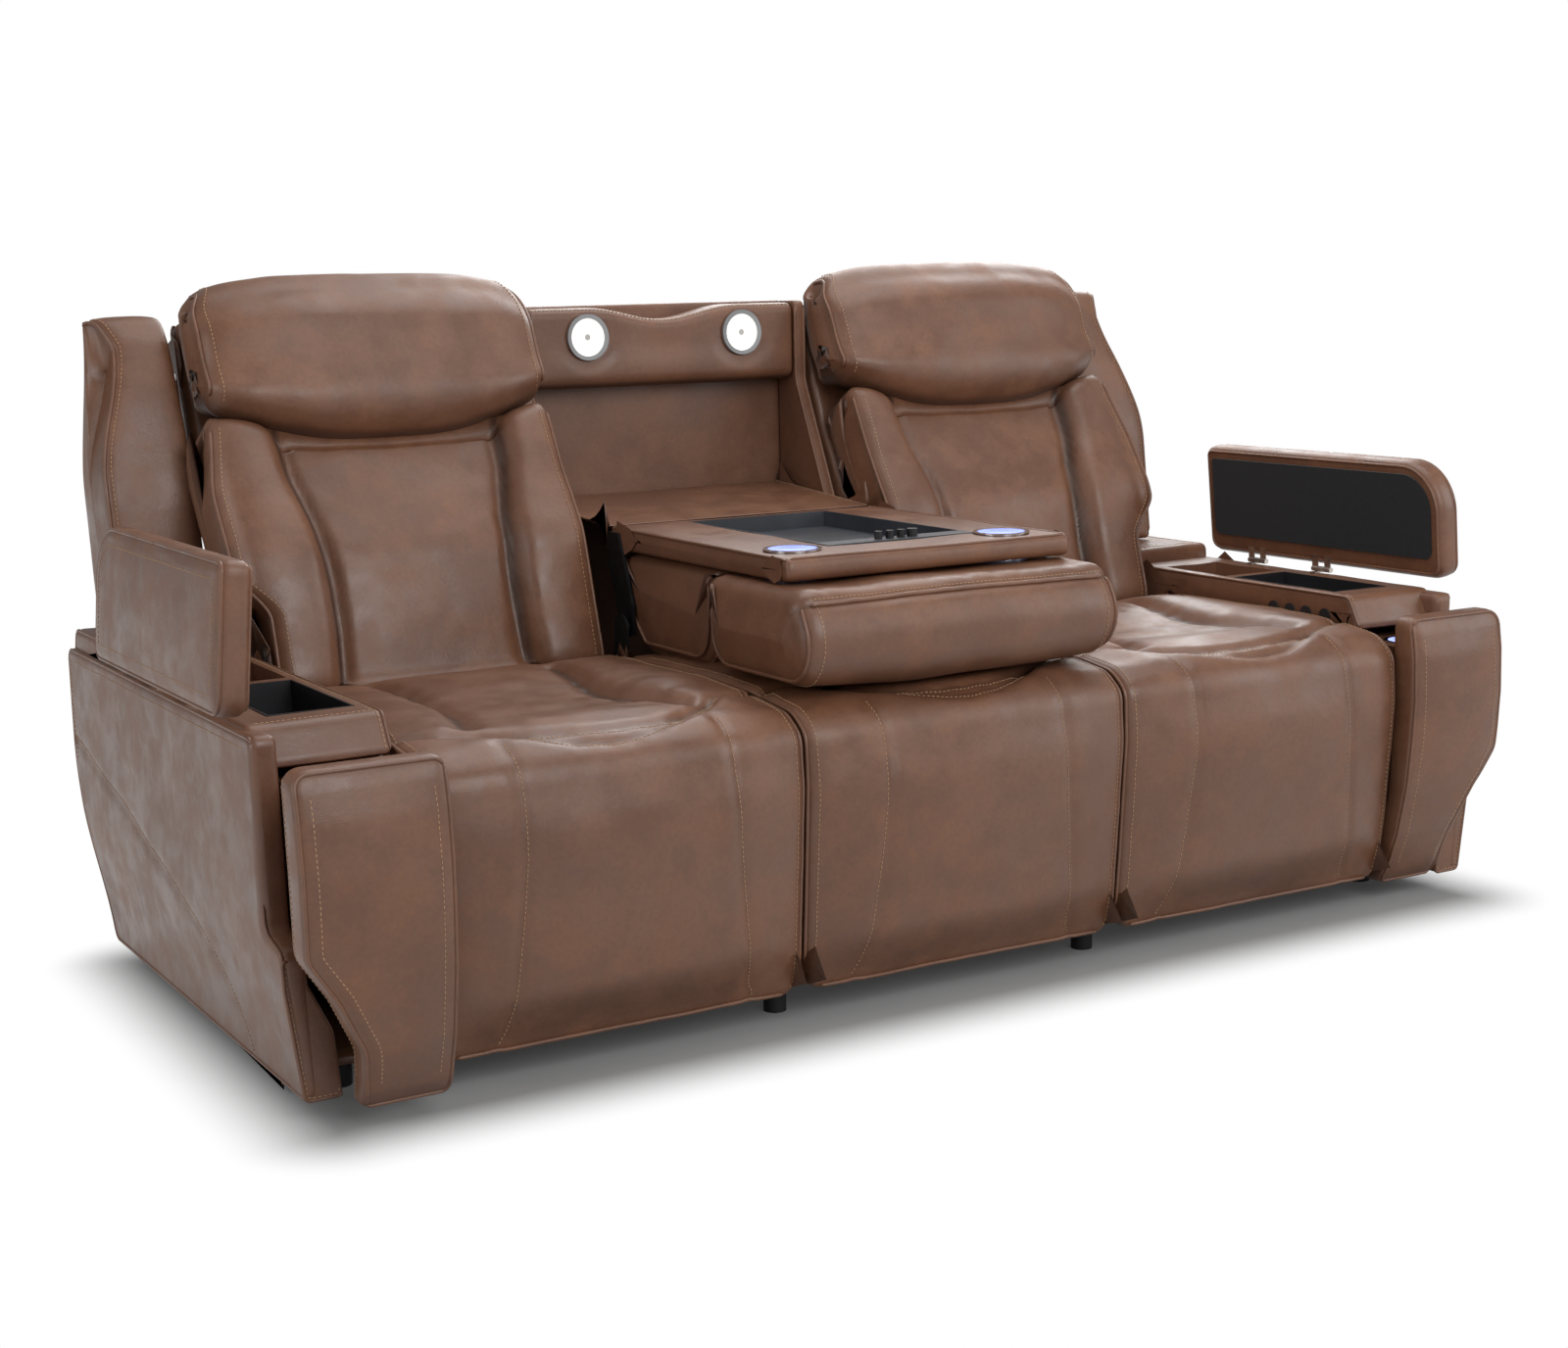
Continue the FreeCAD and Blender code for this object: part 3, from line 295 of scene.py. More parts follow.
def curve(points, step=4.0):
    """Smooth line through a few points."""
    points = np.array(points, float)
    ends = np.vstack([2 * points[0] - points[1], points, 2 * points[-1] - points[-2]])
    made = []
    for a, b, c, d in zip(ends, ends[1:], ends[2:], ends[3:]):
        for t in np.linspace(0, 1, 12, endpoint=False):
            made.append(0.5 * (2 * b + (c - a) * t + (2 * a - 5 * b + 4 * c - d) * t**2
                               + (3 * b - a - 3 * c + d) * t**3))
    return evenly(np.array(made + [points[-1]]), step)


def ring_normals(ring):
    """Outward directions of a closed outline."""
    ahead = np.roll(ring, -1, axis=0)
    run = ahead - np.roll(ring, 1, axis=0)
    area = np.sum(ring[:, 0] * ahead[:, 1] - ahead[:, 0] * ring[:, 1])
    out = np.column_stack([run[:, 1], -run[:, 0]]) * np.sign(area)
    return out / np.maximum(np.linalg.norm(out, axis=1, keepdims=True), 1e-9)


def ring_depth(ring, normals):
    """How thick the outline is at each point, measured straight inward."""
    start = (ring - normals * 0.5)[:, None, :]
    a, b = ring[None, :, :], np.roll(ring, -1, axis=0)[None, :, :]
    d, e = -normals[:, None, :], b - a
    cross = d[..., 0] * e[..., 1] - d[..., 1] * e[..., 0]
    cross = np.where(np.abs(cross) < 1e-9, 1e-9, cross)
    w = a - start
    t = (w[..., 0] * e[..., 1] - w[..., 1] * e[..., 0]) / cross
    u = (w[..., 0] * d[..., 1] - w[..., 1] * d[..., 0]) / cross
    hit = np.where((t > 1.0) & (u >= 0) & (u <= 1), t, 1e6)
    depth = np.minimum(hit.min(axis=1), 400.0)
    for _ in range(6):
        depth = (np.roll(depth, 1) + 2 * depth + np.roll(depth, -1)) / 4
    return depth


def waves(a, b, size, seed):
    """Smooth uneven heights from -1 to 1 over two coordinates."""
    grid = np.random.default_rng(seed).uniform(-1, 1, (64, 64))
    x, y = np.asarray(a, float) / size + 31.7, np.asarray(b, float) / size + 17.3
    i, j = np.floor(x).astype(int), np.floor(y).astype(int)
    u, v = x - i, y - j
    u, v = u * u * (3 - 2 * u), v * v * (3 - 2 * v)
    i0, i1, j0, j1 = i % 64, (i + 1) % 64, j % 64, (j + 1) % 64
    low = grid[i0, j0] * (1 - u) + grid[i1, j0] * u
    high = grid[i0, j1] * (1 - u) + grid[i1, j1] * u
    return low * (1 - v) + high * v


print("profile helpers ready")

# %% [markdown]
# A seam is a line on the flat pattern. What the eye reads as upholstery is the shape beside it:
# the leather is pulled down at the seam, swells between seams and puckers a little along them.
# All three follow from the distance to the line.

# %% Seams
class Seam:
    """A line on the pattern, in millimetres."""

    def __init__(self, points, step=5.0):
        self.points = curve(points, step) if len(points) > 2 else evenly(np.array(points, float), step)

    def measure(self, x, s):
        """Distance to the seam and the place along it, for arrays of pattern points."""
        a, b = self.points[:-1], self.points[1:]
        run = b - a
        length = np.linalg.norm(run, axis=1)
        at = np.column_stack([np.ravel(x), np.ravel(s)])
        best = np.full(len(at), 1e9)
        place = np.zeros(len(at))
        done = 0.0
        for p, r, l in zip(a, run, length):
            t = np.clip(((at - p) @ r) / max(l * l, 1e-9), 0, 1)
            d = np.linalg.norm(at - p - t[:, None] * r, axis=1)
            nearer = d < best
            best = np.where(nearer, d, best)
            place = np.where(nearer, done + t * l, place)
            done += l
        return best.reshape(np.shape(x)), place.reshape(np.shape(x))

    def beside(self, offset):
        """The same line moved sideways on the pattern."""
        run = np.gradient(self.points, axis=0)
        side = np.column_stack([run[:, 1], -run[:, 0]])
        side /= np.maximum(np.linalg.norm(side, axis=1, keepdims=True), 1e-9)
        return self.points + side * offset


def pulled(distance, place, depth, width, pucker=0.0, pitch=16.0, seed=1):
    """Height beside a seam: a fold of some depth and width, with puckers along it."""
    fold = -depth * np.exp(-((distance / width) ** 2))
    if pucker:
        fold = fold + pucker * np.exp(-distance / (width * 2.2)) * waves(place, distance * 0.35, pitch, seed)
    return fold


print("seam helpers ready")

# %% [markdown]
# The cover itself: a closed ring (the seen face and the hidden back) repeated across the piece.
# The ends roll inward like the edge of a cushion and close on a soft side panel. It could be a
# box with a subdivision surface, but then a seam could not be placed to the millimetre.

# %% Covers
QUARTER_TURN = [math.radians(angle) for angle in (0, 22.5, 45, 67.5, 90)]


class Cover:
    """A padded piece. Its pattern has x across the piece and s along the seen face."""

    CAP = (0.12, 0.28, 0.46, 0.64, 0.80, 0.92, 0.99)
    BACK_STEP = 18.0

    def __init__(self, face, back, low, high, roll=14.0, step=7.0, dome=4.0, spine=None):
        front = evenly(rounded(face, step), step)
        rear = evenly(rounded(back, step), self.BACK_STEP)
        self.faces = len(front)
        self.ring = np.vstack([front[:-1], rear[:-1]])
        self.length = float(np.sum(np.linalg.norm(np.diff(front, axis=0), axis=1)))
        normals = ring_normals(self.ring)
        depth = ring_depth(self.ring, normals)
        a, b = self.ring[:, 0], self.ring[:, 1]
        low = low(a, b) if callable(low) else np.full(len(a), float(low))
        high = high(a, b) if callable(high) else np.full(len(a), float(high))
        inset = np.minimum(roll, 0.45 * depth)
        if spine is not None:
            spine = np.array(spine, float)
            run = spine[1] - spine[0]
            along = np.clip(((self.ring - spine[0]) @ run) / max(run @ run, 1e-9), 0, 1)
            core = spine[0] + along[:, None] * run
        rows, out = [], []
        for t in reversed(self.CAP):
            rows.append((low - dome * math.sin(t * 1.57), inset + t * (depth / 2 - inset)))
            out.append((-1.0, 0.0))
        for turn in QUARTER_TURN:
            rows.append((low + roll * (1 - math.cos(turn)), inset * (1 - math.sin(turn))))
            out.append((-math.cos(turn), math.sin(turn)))
        count = max(2, round((np.mean(high - low) - 2 * roll) / step))
        for k in range(1, count):
            share = k / count
            rows.append(((low + roll) * (1 - share) + (high - roll) * share, inset * 0))
            out.append((0.0, 1.0))
        for turn in reversed(QUARTER_TURN):
            rows.append((high - roll * (1 - math.cos(turn)), inset * (1 - math.sin(turn))))
            out.append((math.cos(turn), math.sin(turn)))
        for t in self.CAP:
            rows.append((high + dome * math.sin(t * 1.57), inset + t * (depth / 2 - inset)))
            out.append((1.0, 0.0))
        self.x = np.array([row[0] for row in rows])
        shrink = np.array([row[1] for row in rows])[..., None]
        flat = self.ring[None] - normals[None] * shrink
        if spine is not None:
            inner = self.ring - normals * inset[:, None]
            for k, t in enumerate(self.CAP):
                share = 1 - (1 - t) ** 1.5
                closing = inner * (1 - share) + core * share
                flat[k - len(self.CAP)] = flat[len(self.CAP) - 1 - k] = closing
        self.points = np.concatenate([self.x[..., None], flat], axis=2)
        across = np.array([o[0] for o in out])[:, None, None] * np.ones((1, len(a), 1))
        around = np.array([o[1] for o in out])[:, None, None] * normals[None]
        self.out = np.concatenate([across, around], axis=2)
        self.raised = np.array([o[1] for o in out])[:, None]
        self.s = np.concatenate([np.arange(self.faces) * self.length / (self.faces - 1),
                                 self.length + self.BACK_STEP * np.arange(1, len(a) - self.faces + 1)])
        # Painted shade per point, darkening folds and seams in the leather.
        self.wear = np.zeros(self.x.shape)
        self.cap = len(self.CAP)

    def pattern(self):
        """Pattern x and s at every point."""
        return self.x, np.broadcast_to(self.s, self.x.shape)

    def puff(self, heights):
        """Moves the seen face outward by heights in millimetres."""
        seen = (np.arange(len(self.s)) < self.faces)[None, :]
        fade = np.clip(np.minimum(self.s, self.length - self.s) / 8.0, 0, 1)[None, :]
        self.points = self.points + self.out * (heights * seen * fade * self.raised)[..., None]

    def darken(self, amount):
        """Adds painted shade on the seen face."""
        seen = (np.arange(len(self.s)) < self.faces)[None, :]
        self.wear = self.wear + amount * seen

    def move(self, change):
        """Moves every point by a function of its sweep, a and b coordinates."""
        x, a, b = (self.points[..., k] for k in range(3))
        self.points = np.stack(change(x, a, b), axis=2)

    def normals(self):
        """Outward directions after all changes."""
        along = np.gradient(self.points, axis=0)
        around = np.roll(self.points, -1, axis=1) - np.roll(self.points, 1, axis=1)
        n = np.cross(along, around)
        n /= np.maximum(np.linalg.norm(n, axis=2, keepdims=True), 1e-9)
        n *= np.sign(np.sum(n * self.out, axis=2, keepdims=True) + 1e-12)
        return n

    def at(self, line, lift=0.0):
        """Positions and outward directions of pattern points (x, s) on the finished cover."""
        line = np.asarray(line, float)
        normal = self.normals()
        j = np.clip(line[:, 1] / self.length * (self.faces - 1), 0, self.faces - 1.001)
        j0 = j.astype(int)
        inner = slice(self.cap, len(self.x) - self.cap)
        places, outs = [], []
        for (x, s), k, part in zip(line, j0, j - j0):
            row = self.x[inner, k]
            i = np.interp(x, row, np.arange(len(row))) + self.cap
            i = min(max(i, self.cap), len(self.x) - self.cap - 1.001)
            i0, f = int(i), i - int(i)
            for grid, kept in ((self.points, places), (normal, outs)):
                low = grid[i0, k] * (1 - f) + grid[i0 + 1, k] * f
                high = grid[i0, k + 1] * (1 - f) + grid[i0 + 1, k + 1] * f
                kept.append(low * (1 - part) + high * part)
        places, outs = np.array(places), np.array(outs)
        outs /= np.linalg.norm(outs, axis=1, keepdims=True)
        return places + outs * lift, outs

    def edge(self, high_end, low_s=0.0, high_s=None, turn=2, lift=0.0):
        """Line along one rolled end of the seen face, for its piping or its stitches."""
        row = len(self.x) - 1 - self.cap - turn if high_end else self.cap + turn
        high_s = self.length if high_s is None else high_s
        keep = np.where((self.s >= low_s) & (self.s <= high_s))[0]
        keep = keep[keep < self.faces]
        normal = self.normals()
        return self.points[row, keep] + normal[row, keep] * lift, normal[row, keep]


print("cover ready")

# %% [markdown]
# One piece of upholstery is a single object with leather, piping and thread on it. The piping is
# a tube along an edge. Each stitch is a real little bar of thread that dips into the leather at
# both ends, because the contrast stitching is what makes the seams read in the photograph.

# %% Sewing
def mesh_object(name, points, faces):
    """Object made of points, in metres, and faces."""
    mesh = bpy.data.meshes.new(name)
    mesh.from_pydata(points, [], faces)
    made = bpy.data.objects.new(name, mesh)
    scene.collection.objects.link(made)
    return made


class Piece:
    """Collects covers, piping and stitches, in millimetres, and makes one object of them."""

    STITCH = ((-0.5, -0.7, 0.5), (-0.34, 0.35, 1.0), (0.34, 0.35, 1.0), (0.5, -0.7, 0.5))

    def __init__(self):
        self.points, self.faces, self.slots, self.wear = [], [], [], []
        self.count = 0

    def put(self, points, faces, slot, wear):
        self.points.append(points)
        self.wear.append(wear)
        self.faces += [tuple(int(v) + self.count for v in face) for face in faces]
        self.slots += [slot] * len(faces)
        self.count += len(points)

    def cover(self, cover):
        """Adds the closed surface of a cover or plate."""
        grid = cover.points
        rows, columns = grid.shape[:2]
        index = np.arange(rows * columns).reshape(rows, columns)
        a, b = index[:-1], index[1:]
        c, d = np.roll(b, -1, axis=1), np.roll(a, -1, axis=1)
        quads = np.stack([a, b, c, d], axis=2).reshape(-1, 4)
        one = grid[rows // 2, 0], grid[rows // 2 + 1, 0], grid[rows // 2, 1]
        turned = np.cross(one[1] - one[0], one[2] - one[0]) @ cover.normals()[rows // 2, 0]
        ends = [tuple(index[0]), tuple(reversed(index[-1]))]
        if isinstance(cover, Plate):
            ends = ends[:1]
        if turned < 0:
            quads = quads[:, ::-1]
            ends = [tuple(reversed(end)) for end in ends]
        self.put(grid.reshape(-1, 3), quads.tolist() + ends, HIDE, np.ravel(cover.wear))
        if isinstance(cover, Plate):
            faces = cover.net_faces
            a, b, c = cover.net[list(faces[0][:3])]
            if np.cross(b - a, c - a) @ cover.out[-1, 0] < 0:
                faces = [face[::-1] for face in faces]
            self.put(cover.net, faces, HIDE, np.zeros(len(cover.net)))

    def tube(self, line, normals, radius, sides=8):
        """Piping along a line."""
        run = np.gradient(line, axis=0)
        run /= np.maximum(np.linalg.norm(run, axis=1, keepdims=True), 1e-9)
        side = np.cross(run, normals)
        side /= np.maximum(np.linalg.norm(side, axis=1, keepdims=True), 1e-9)
        up = np.cross(side, run)
        turns = np.arange(sides) * 2 * math.pi / sides
        radii = np.full(len(line), radius)
        radii[0] = radii[-1] = radius * 0.35
        ring = side[:, None] * np.cos(turns)[None, :, None] + up[:, None] * np.sin(turns)[None, :, None]
        points = line[:, None] + ring * radii[:, None, None]
        index = np.arange(len(line) * sides).reshape(len(line), sides)
        a, b = index[:-1], index[1:]
        quads = np.stack([a, np.roll(a, -1, axis=1), np.roll(b, -1, axis=1), b], axis=2).reshape(-1, 4)
        ends = [tuple(reversed(index[0])), tuple(index[-1])]
        self.put(points.reshape(-1, 3), quads.tolist() + ends, WELT, np.zeros(points.size // 3))

    def stitches(self, line, normals, pitch=7.5, length=5.0, radius=0.6):
        """Bars of thread along a line."""
        lengths = np.linalg.norm(np.diff(line, axis=0), axis=1)
        reached = np.concatenate([[0.0], np.cumsum(lengths)])
        wanted = np.arange(pitch / 2, reached[-1], pitch)
        if len(wanted) == 0:
            return
        spread = lambda values: np.column_stack([np.interp(wanted, reached, v) for v in values.T])
        centre, up = spread(line), spread(normals)
        run = spread(np.gradient(line, axis=0))
        run /= np.maximum(np.linalg.norm(run, axis=1, keepdims=True), 1e-9)
        side = np.cross(run, up)
        side /= np.maximum(np.linalg.norm(side, axis=1, keepdims=True), 1e-9)
        made = []
        for along, height, size in self.STITCH:
            base = centre + run * along * length + up * height * radius
            for way, amount in ((side, 1.25), (up, 1.0), (side, -1.25), (up, -1.0)):
                made.append(base + way * amount * size * radius)
        points = np.stack(made, axis=1)
        faces = []
        for k in range(len(wanted)):
            start = k * 16
            for ring in range(3):
                for corner in range(4):
                    a, b = start + ring * 4 + corner, start + ring * 4 + (corner + 1) % 4
                    faces.append((a, a + 4, b + 4, b))
            faces.append((start, start + 1, start + 2, start + 3))
            faces.append((start + 15, start + 14, start + 13, start + 12))
        self.put(points.reshape(-1, 3), faces, THREAD, np.zeros(len(points) * 16))

    def sew(self, cover, seam, offset):
        """Stitches beside a seam of a cover."""
        self.stitches(*cover.at(seam.beside(offset), 0.25))

    def trim(self, cover, low, high, radius=3.2, lift=1.0, ends=(False, True), turn=2):
        """Piping along the rolled ends of a cover, each with a stitched line beside it."""
        for end in ends:
            self.tube(*cover.edge(end, low, high, turn, lift), radius)
            self.stitches(*cover.edge(end, low, high, turn + 2, 0.3))

    def make(self, name, mirror=False):
        """The finished object, in metres."""
        points = np.vstack(self.points)
        if mirror:
            points = points * np.array((-1.0, 1.0, 1.0))
        faces = [face[::-1] for face in self.faces] if mirror else self.faces
        made = mesh_object(name, (points * MM).tolist(), faces)
        mesh = made.data
        for material in LEATHERS:
            mesh.materials.append(material)
        mesh.polygons.foreach_set("material_index", self.slots)
        mesh.polygons.foreach_set("use_smooth", [True] * len(faces))
        # The painted shade of folds and seams is kept as a point value for the leather.
        wear = mesh.attributes.new("wear", "FLOAT", "POINT")
        wear.data.foreach_set("value", np.concatenate(self.wear).astype(np.float32))
        shaped = bmesh.new()
        shaped.from_mesh(mesh)
        bmesh.ops.remove_doubles(shaped, verts=shaped.verts, dist=0.00001)
        shaped.to_mesh(mesh)
        shaped.free()
        mesh.update()
        return made


def settle(made, body, replaced=()):
    """Puts a finished object on its body and says what it stands for."""
    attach(made, body)
    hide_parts(*replaced)
    print(made.name, len(made.data.vertices), "points on", body)


SIDES = (("right", False), ("left", True))
print("sewing ready")

# %% [markdown]
# Lids, drawer fronts and arm panels are boards wrapped in foam and leather, cut to an outline with
# round corners. The outline is moved inward edge by edge, like a hem, which gives the rolled edge
# and lines for stitching; the field inside the last line is filled with an even net of points.

# %% Plates
def hemmed(corners, inset, count):
    """Closed outline through corners (u, v, radius), moved inward, with a set number of points."""
    spots = np.array([corner[:2] for corner in corners], float)
    ahead = np.roll(spots, -1, axis=0)
    turn = np.sign(np.sum(spots[:, 0] * ahead[:, 1] - ahead[:, 0] * spots[:, 1]))
    run = (ahead - spots) / np.linalg.norm(ahead - spots, axis=1, keepdims=True)
    inward = np.column_stack([-run[:, 1], run[:, 0]]) * turn
    moved = []
    for k, corner in enumerate(corners):
        before, after = run[k - 1], run[k]
        cross = before[0] * after[1] - before[1] * after[0]
        shift = (inward[k - 1] + inward[k]) * inset / (1 + inward[k - 1] @ inward[k])
        radius = corner[2] - inset if cross * turn > 0 else corner[2] + inset
        moved.append((*(spots[k] + shift), max(radius, 2.5)))
    middle = (*((np.array(moved[-1][:2]) + moved[0][:2]) / 2), 0)
    line = rounded([middle, *moved, middle], 3.0)
    reached = np.concatenate([[0.0], np.cumsum(np.linalg.norm(np.diff(line, axis=0), axis=1))])
    wanted = np.linspace(0, reached[-1], count + 1)[:-1]
    return np.column_stack([np.interp(wanted, reached, column) for column in line.T])


def closed(corners, step):
    """Closed outline through corners (u, v, radius)."""
    middle = [(corners[-1][0] + corners[0][0]) / 2, (corners[-1][1] + corners[0][1]) / 2, 0]
    return evenly(rounded([middle, *corners, middle], step), step)[:-1]


class Plate:
    """A padded board with an outline in (u, v), a thickness and a place in the world."""

    INSETS = (0, 4, 8, 12)

    def __init__(self, corners, thick, place, roll=12.0, crown=5.0, step=8.0, relief=None, hem=1.0):
        ring = closed(corners, step)
        count = len(ring)
        normals = ring_normals(ring)
        middle, reach = (ring.max(axis=0) + ring.min(axis=0)) / 2, np.ptp(ring, axis=0) / 2 - roll * 0.5
        small = min(roll, thick / 2 - 1)
        insets = [extra * hem + small for extra in reversed(self.INSETS[1:])]
        rows = [(inset, 0.0, 0.0, -1.0) for inset in insets]
        bend = [(small * (1 - math.cos(t)), small * (1 - math.sin(t)), math.cos(t), math.sin(t))
                for t in QUARTER_TURN]
        rows += [(inset, drop, out, -up) for inset, drop, out, up in reversed(bend)]
        self.side = len(rows) - 1
        rows += [(inset, thick - drop, out, up) for inset, drop, out, up in bend]
        self.front = len(rows) - 1
        rows += [(inset, thick, 0.0, 1.0) for inset in reversed(insets)]

        def rise(flat):
            swell = np.prod(np.clip(1 - np.abs((flat - middle) / reach) ** 2.4, 0, 1), axis=-1)
            return crown * swell + (relief(flat[..., 0], flat[..., 1]) if relief is not None else 0.0)

        self.flat = np.array([hemmed(corners, row[0], count) for row in rows])
        heights = np.array([np.full(count, row[1]) for row in rows])
        heights[self.front + 1:] += rise(self.flat[self.front + 1:])
        across = np.array([row[2] for row in rows])[:, None, None] * normals[None]
        upward = np.array([row[3] for row in rows])[:, None, None] * np.ones((1, count, 1))
        u, v = self.flat[..., 0], self.flat[..., 1]
        self.points = np.stack(place(u, v, heights), axis=2)
        ahead = place(u + across[..., 0], v + across[..., 1], heights + upward[..., 0])
        self.out = np.stack(ahead, axis=2) - self.points
        self.wear = np.zeros(heights.shape)
        self.fill(step, lambda flat: np.stack(place(flat[:, 0], flat[:, 1], thick + rise(flat)), axis=1))

    def fill(self, step, lift):
        """Net of triangles inside the last line of the front."""
        edge = self.flat[-1]
        low, high = edge.min(axis=0), edge.max(axis=0)
        lines = [np.arange(first, last, step) for first, last in zip(low, high)]
        spots = np.stack(np.meshgrid(*lines), axis=-1).reshape(-1, 2)
        a, b = edge[None], np.roll(edge, -1, axis=0)[None]
        p = spots[:, None]
        crossing = (a[..., 1] > p[..., 1]) != (b[..., 1] > p[..., 1])
        rise = np.where(crossing, b[..., 1] - a[..., 1], 1.0)
        hit = p[..., 0] < a[..., 0] + (p[..., 1] - a[..., 1]) / rise * (b[..., 0] - a[..., 0])
        clear = np.linalg.norm(p - a, axis=2).min(axis=1) > step * 0.6
        inside = (np.sum(crossing & hit, axis=1) % 2 == 1) & clear
        spots = np.vstack([edge, spots[inside]])
        lines = [(k, (k + 1) % len(edge)) for k in range(len(edge))]
        made = delaunay_2d_cdt([Vector(spot) for spot in spots.tolist()], lines, [], 1, 0.001)
        self.net_flat = np.array([list(spot) for spot in made[0]])
        self.net = lift(self.net_flat)
        self.net_faces = [tuple(face) for face in made[2]]

    normals = Cover.normals

    def line(self, row, start=None, stop=None):
        """Positions and directions along one ring, from one outline point to another."""
        ring = self.flat[self.side]
        nearest = lambda point: int(np.argmin(np.linalg.norm(ring - np.array(point), axis=1)))
        count = len(ring)
        first = nearest(start) if start is not None else 0
        last = nearest(stop) if stop is not None else first + count
        if last <= first:
            last += count
        keep = np.arange(first, last + 1) % count
        return self.points[row, keep], self.normals()[row, keep]


print("plates ready")

# %% [markdown]
# Each end seat is one long cushion cover: it starts at the bottom of the footrest board, runs up the front,
# over the nose and back along the seat. It is one piece over the frame and the footrest, shaped in a single
# pose. A crescent of leather is let in at the nose, and two stitched seams run down the front.

# %% Seat pattern
SEAT_MIDDLE, SEAT_HALF, BACK_HALF = 588.0, 291.0, 288.0
FRONT_SEAM = [(166, -430, 478), (163, -464, 420), (165, -466, 350), (168, -462, 300),
              (177, -455, 200), (190, -447, 100), (202, -444, 62)]
UPPER_ARC = [(-290, -322, 484), (-232, -318, 484), (-205, -342, 482), (-160, -372, 478), (-105, -402, 475),
             (-24, -420, 473), (72, -414, 474), (130, -394, 476), (170, -376, 478), (247, -344, 483),
             (290, -318, 484)]
LOWER_ARC = [(-205, -342, 482), (-187, -366, 479), (-140, -396, 475), (-90, -425, 471), (-11, -442, 464),
             (62, -436, 467), (120, -414, 473), (150, -392, 476), (172, -376, 478)]


def smooth(value, low, high):
    """0 below low, 1 above high, with a soft change between."""
    t = np.clip((np.asarray(value, float) - low) / (high - low), 0, 1)
    return t * t * (3 - 2 * t)


def corner_inset(height, radius):
    """How far a round corner has come in at a height above its end."""
    h = np.clip(height, 0, radius)
    return radius - np.sqrt(np.maximum(radius**2 - (radius - h) ** 2, 0))


def nearest_s(cover, a, b):
    """Pattern s of the face point nearest to a profile point."""
    face = cover.ring[:cover.faces]
    return cover.s[int(np.argmin(np.hypot(face[:, 0] - a, face[:, 1] - b)))]


def seat_seam(cover, places, middle, side=1.0):
    """A seam from points (x, y, z) beside the middle of a seat."""
    return Seam([(middle + side * x, nearest_s(cover, y, z)) for x, y, z in places])


def seat_cover(low, high, rear):
    """Seat with its footrest front, between two x values and up to its rear edge."""
    middle, half = (low + high) / 2, (high - low) / 2
    face = [(-404, 48, 0), (-440, 45, 14), (-451, 166, 300), (-465, 364, 200), (-461, 444, 36),
            (-424, 472, 60), (-320, 485, 200), (-185, 490, 300), (rear, 486, 24), (rear, 452, 0)]
    back = [(rear, 452, 0), (-392, 440, 40), (-404, 300, 0), (-404, 48, 0)]
    bottom = lambda a, b: corner_inset(np.clip(b - 44, 0, 34), 34) * (a < -380)
    cover = Cover(face, back, lambda a, b: low + bottom(a, b), lambda a, b: high - bottom(a, b), 15.0, 6.5)
    x, s = cover.pattern()
    u = np.clip((x - middle) / half, -1, 1)
    y, z = cover.ring[:, 0][None, :], cover.ring[:, 1][None, :]
    front = (1 - smooth(y, -455, -300)) * smooth(z, 40, 150) * (1 - 0.55 * smooth(z, 330, 480))
    height = 36.0 * (1 - np.abs(u) ** 3.2) ** 0.75 * front
    top = smooth(y, -420, -330) * (1 - smooth(y, rear - 120, rear - 10))
    dish = smooth(y, -350, -210) * (1 - smooth(y, -150, 60)) * np.exp(-((u / 0.52) ** 4))
    bolster = np.exp(-(((np.abs(u) - 0.72) / 0.20) ** 2))
    height = height + top * (10.0 * bolster - 20.0 * dish + 7.0 * np.exp(-((u / 0.5) ** 4)))
    seams = [seat_seam(cover, FRONT_SEAM, middle, side) for side in (1, -1)]
    arcs = [seat_seam(cover, UPPER_ARC, middle), seat_seam(cover, LOWER_ARC, middle)]
    folds = [Seam([(middle + side * dx, nearest_s(cover, dy, 490)) for dx, dy in
                   ((172, -330), (150, -250), (128, -160), (134, -60), (150, 60), (156, rear - 40))])
             for side in (1, -1)]
    pulls = [(seam, 3.2, 9, 0.35) for seam in seams]
    pulls += [(arcs[0], 9.0, 12, 1.4), (arcs[1], 8.0, 11, 1.4)]
    pulls += [(fold, 15, 20, 2.2) for fold in folds]
    for seam, depth, width, pucker in pulls:
        distance, along = seam.measure(x, s)
        height = height + pulled(distance, along, depth, width, pucker, 22.0, 3)
        # Painted shade along the seams and folds of the seat.
        cover.darken(0.055 * depth * np.exp(-((distance / (width * 0.45)) ** 2)))
    height = height + 1.5 * waves(x, s, 92.0, 5) + 0.55 * waves(x, s, 31.0, 6)
    cover.puff(height)
    piece = Piece()
    piece.cover(cover)
    start, end = nearest_s(cover, -444, 60), nearest_s(cover, rear - 60, 486)
    piece.trim(cover, start, end, lift=1.2)
    row = np.linspace(low + 30, high - 30, 90)
    piece.tube(*cover.at(np.column_stack([row, np.full(90, nearest_s(cover, -441, 50))]), 1.2), 3.2)
    for seam in seams + arcs:
        piece.sew(cover, seam, 4.5)
    return piece


def foam_core(low, high, rear):
    """Foam block under a seat cover, seen only when the footrest is out."""
    cover = Cover([(-388, 338, 0), (-388, 436, 20), (rear - 4, 450, 10), (rear - 4, 338, 0)],
                  [(rear - 4, 338, 0), (-388, 338, 0)], low + 6, high - 6, 10.0, 14.0)
    piece = Piece()
    piece.cover(cover)
    return piece


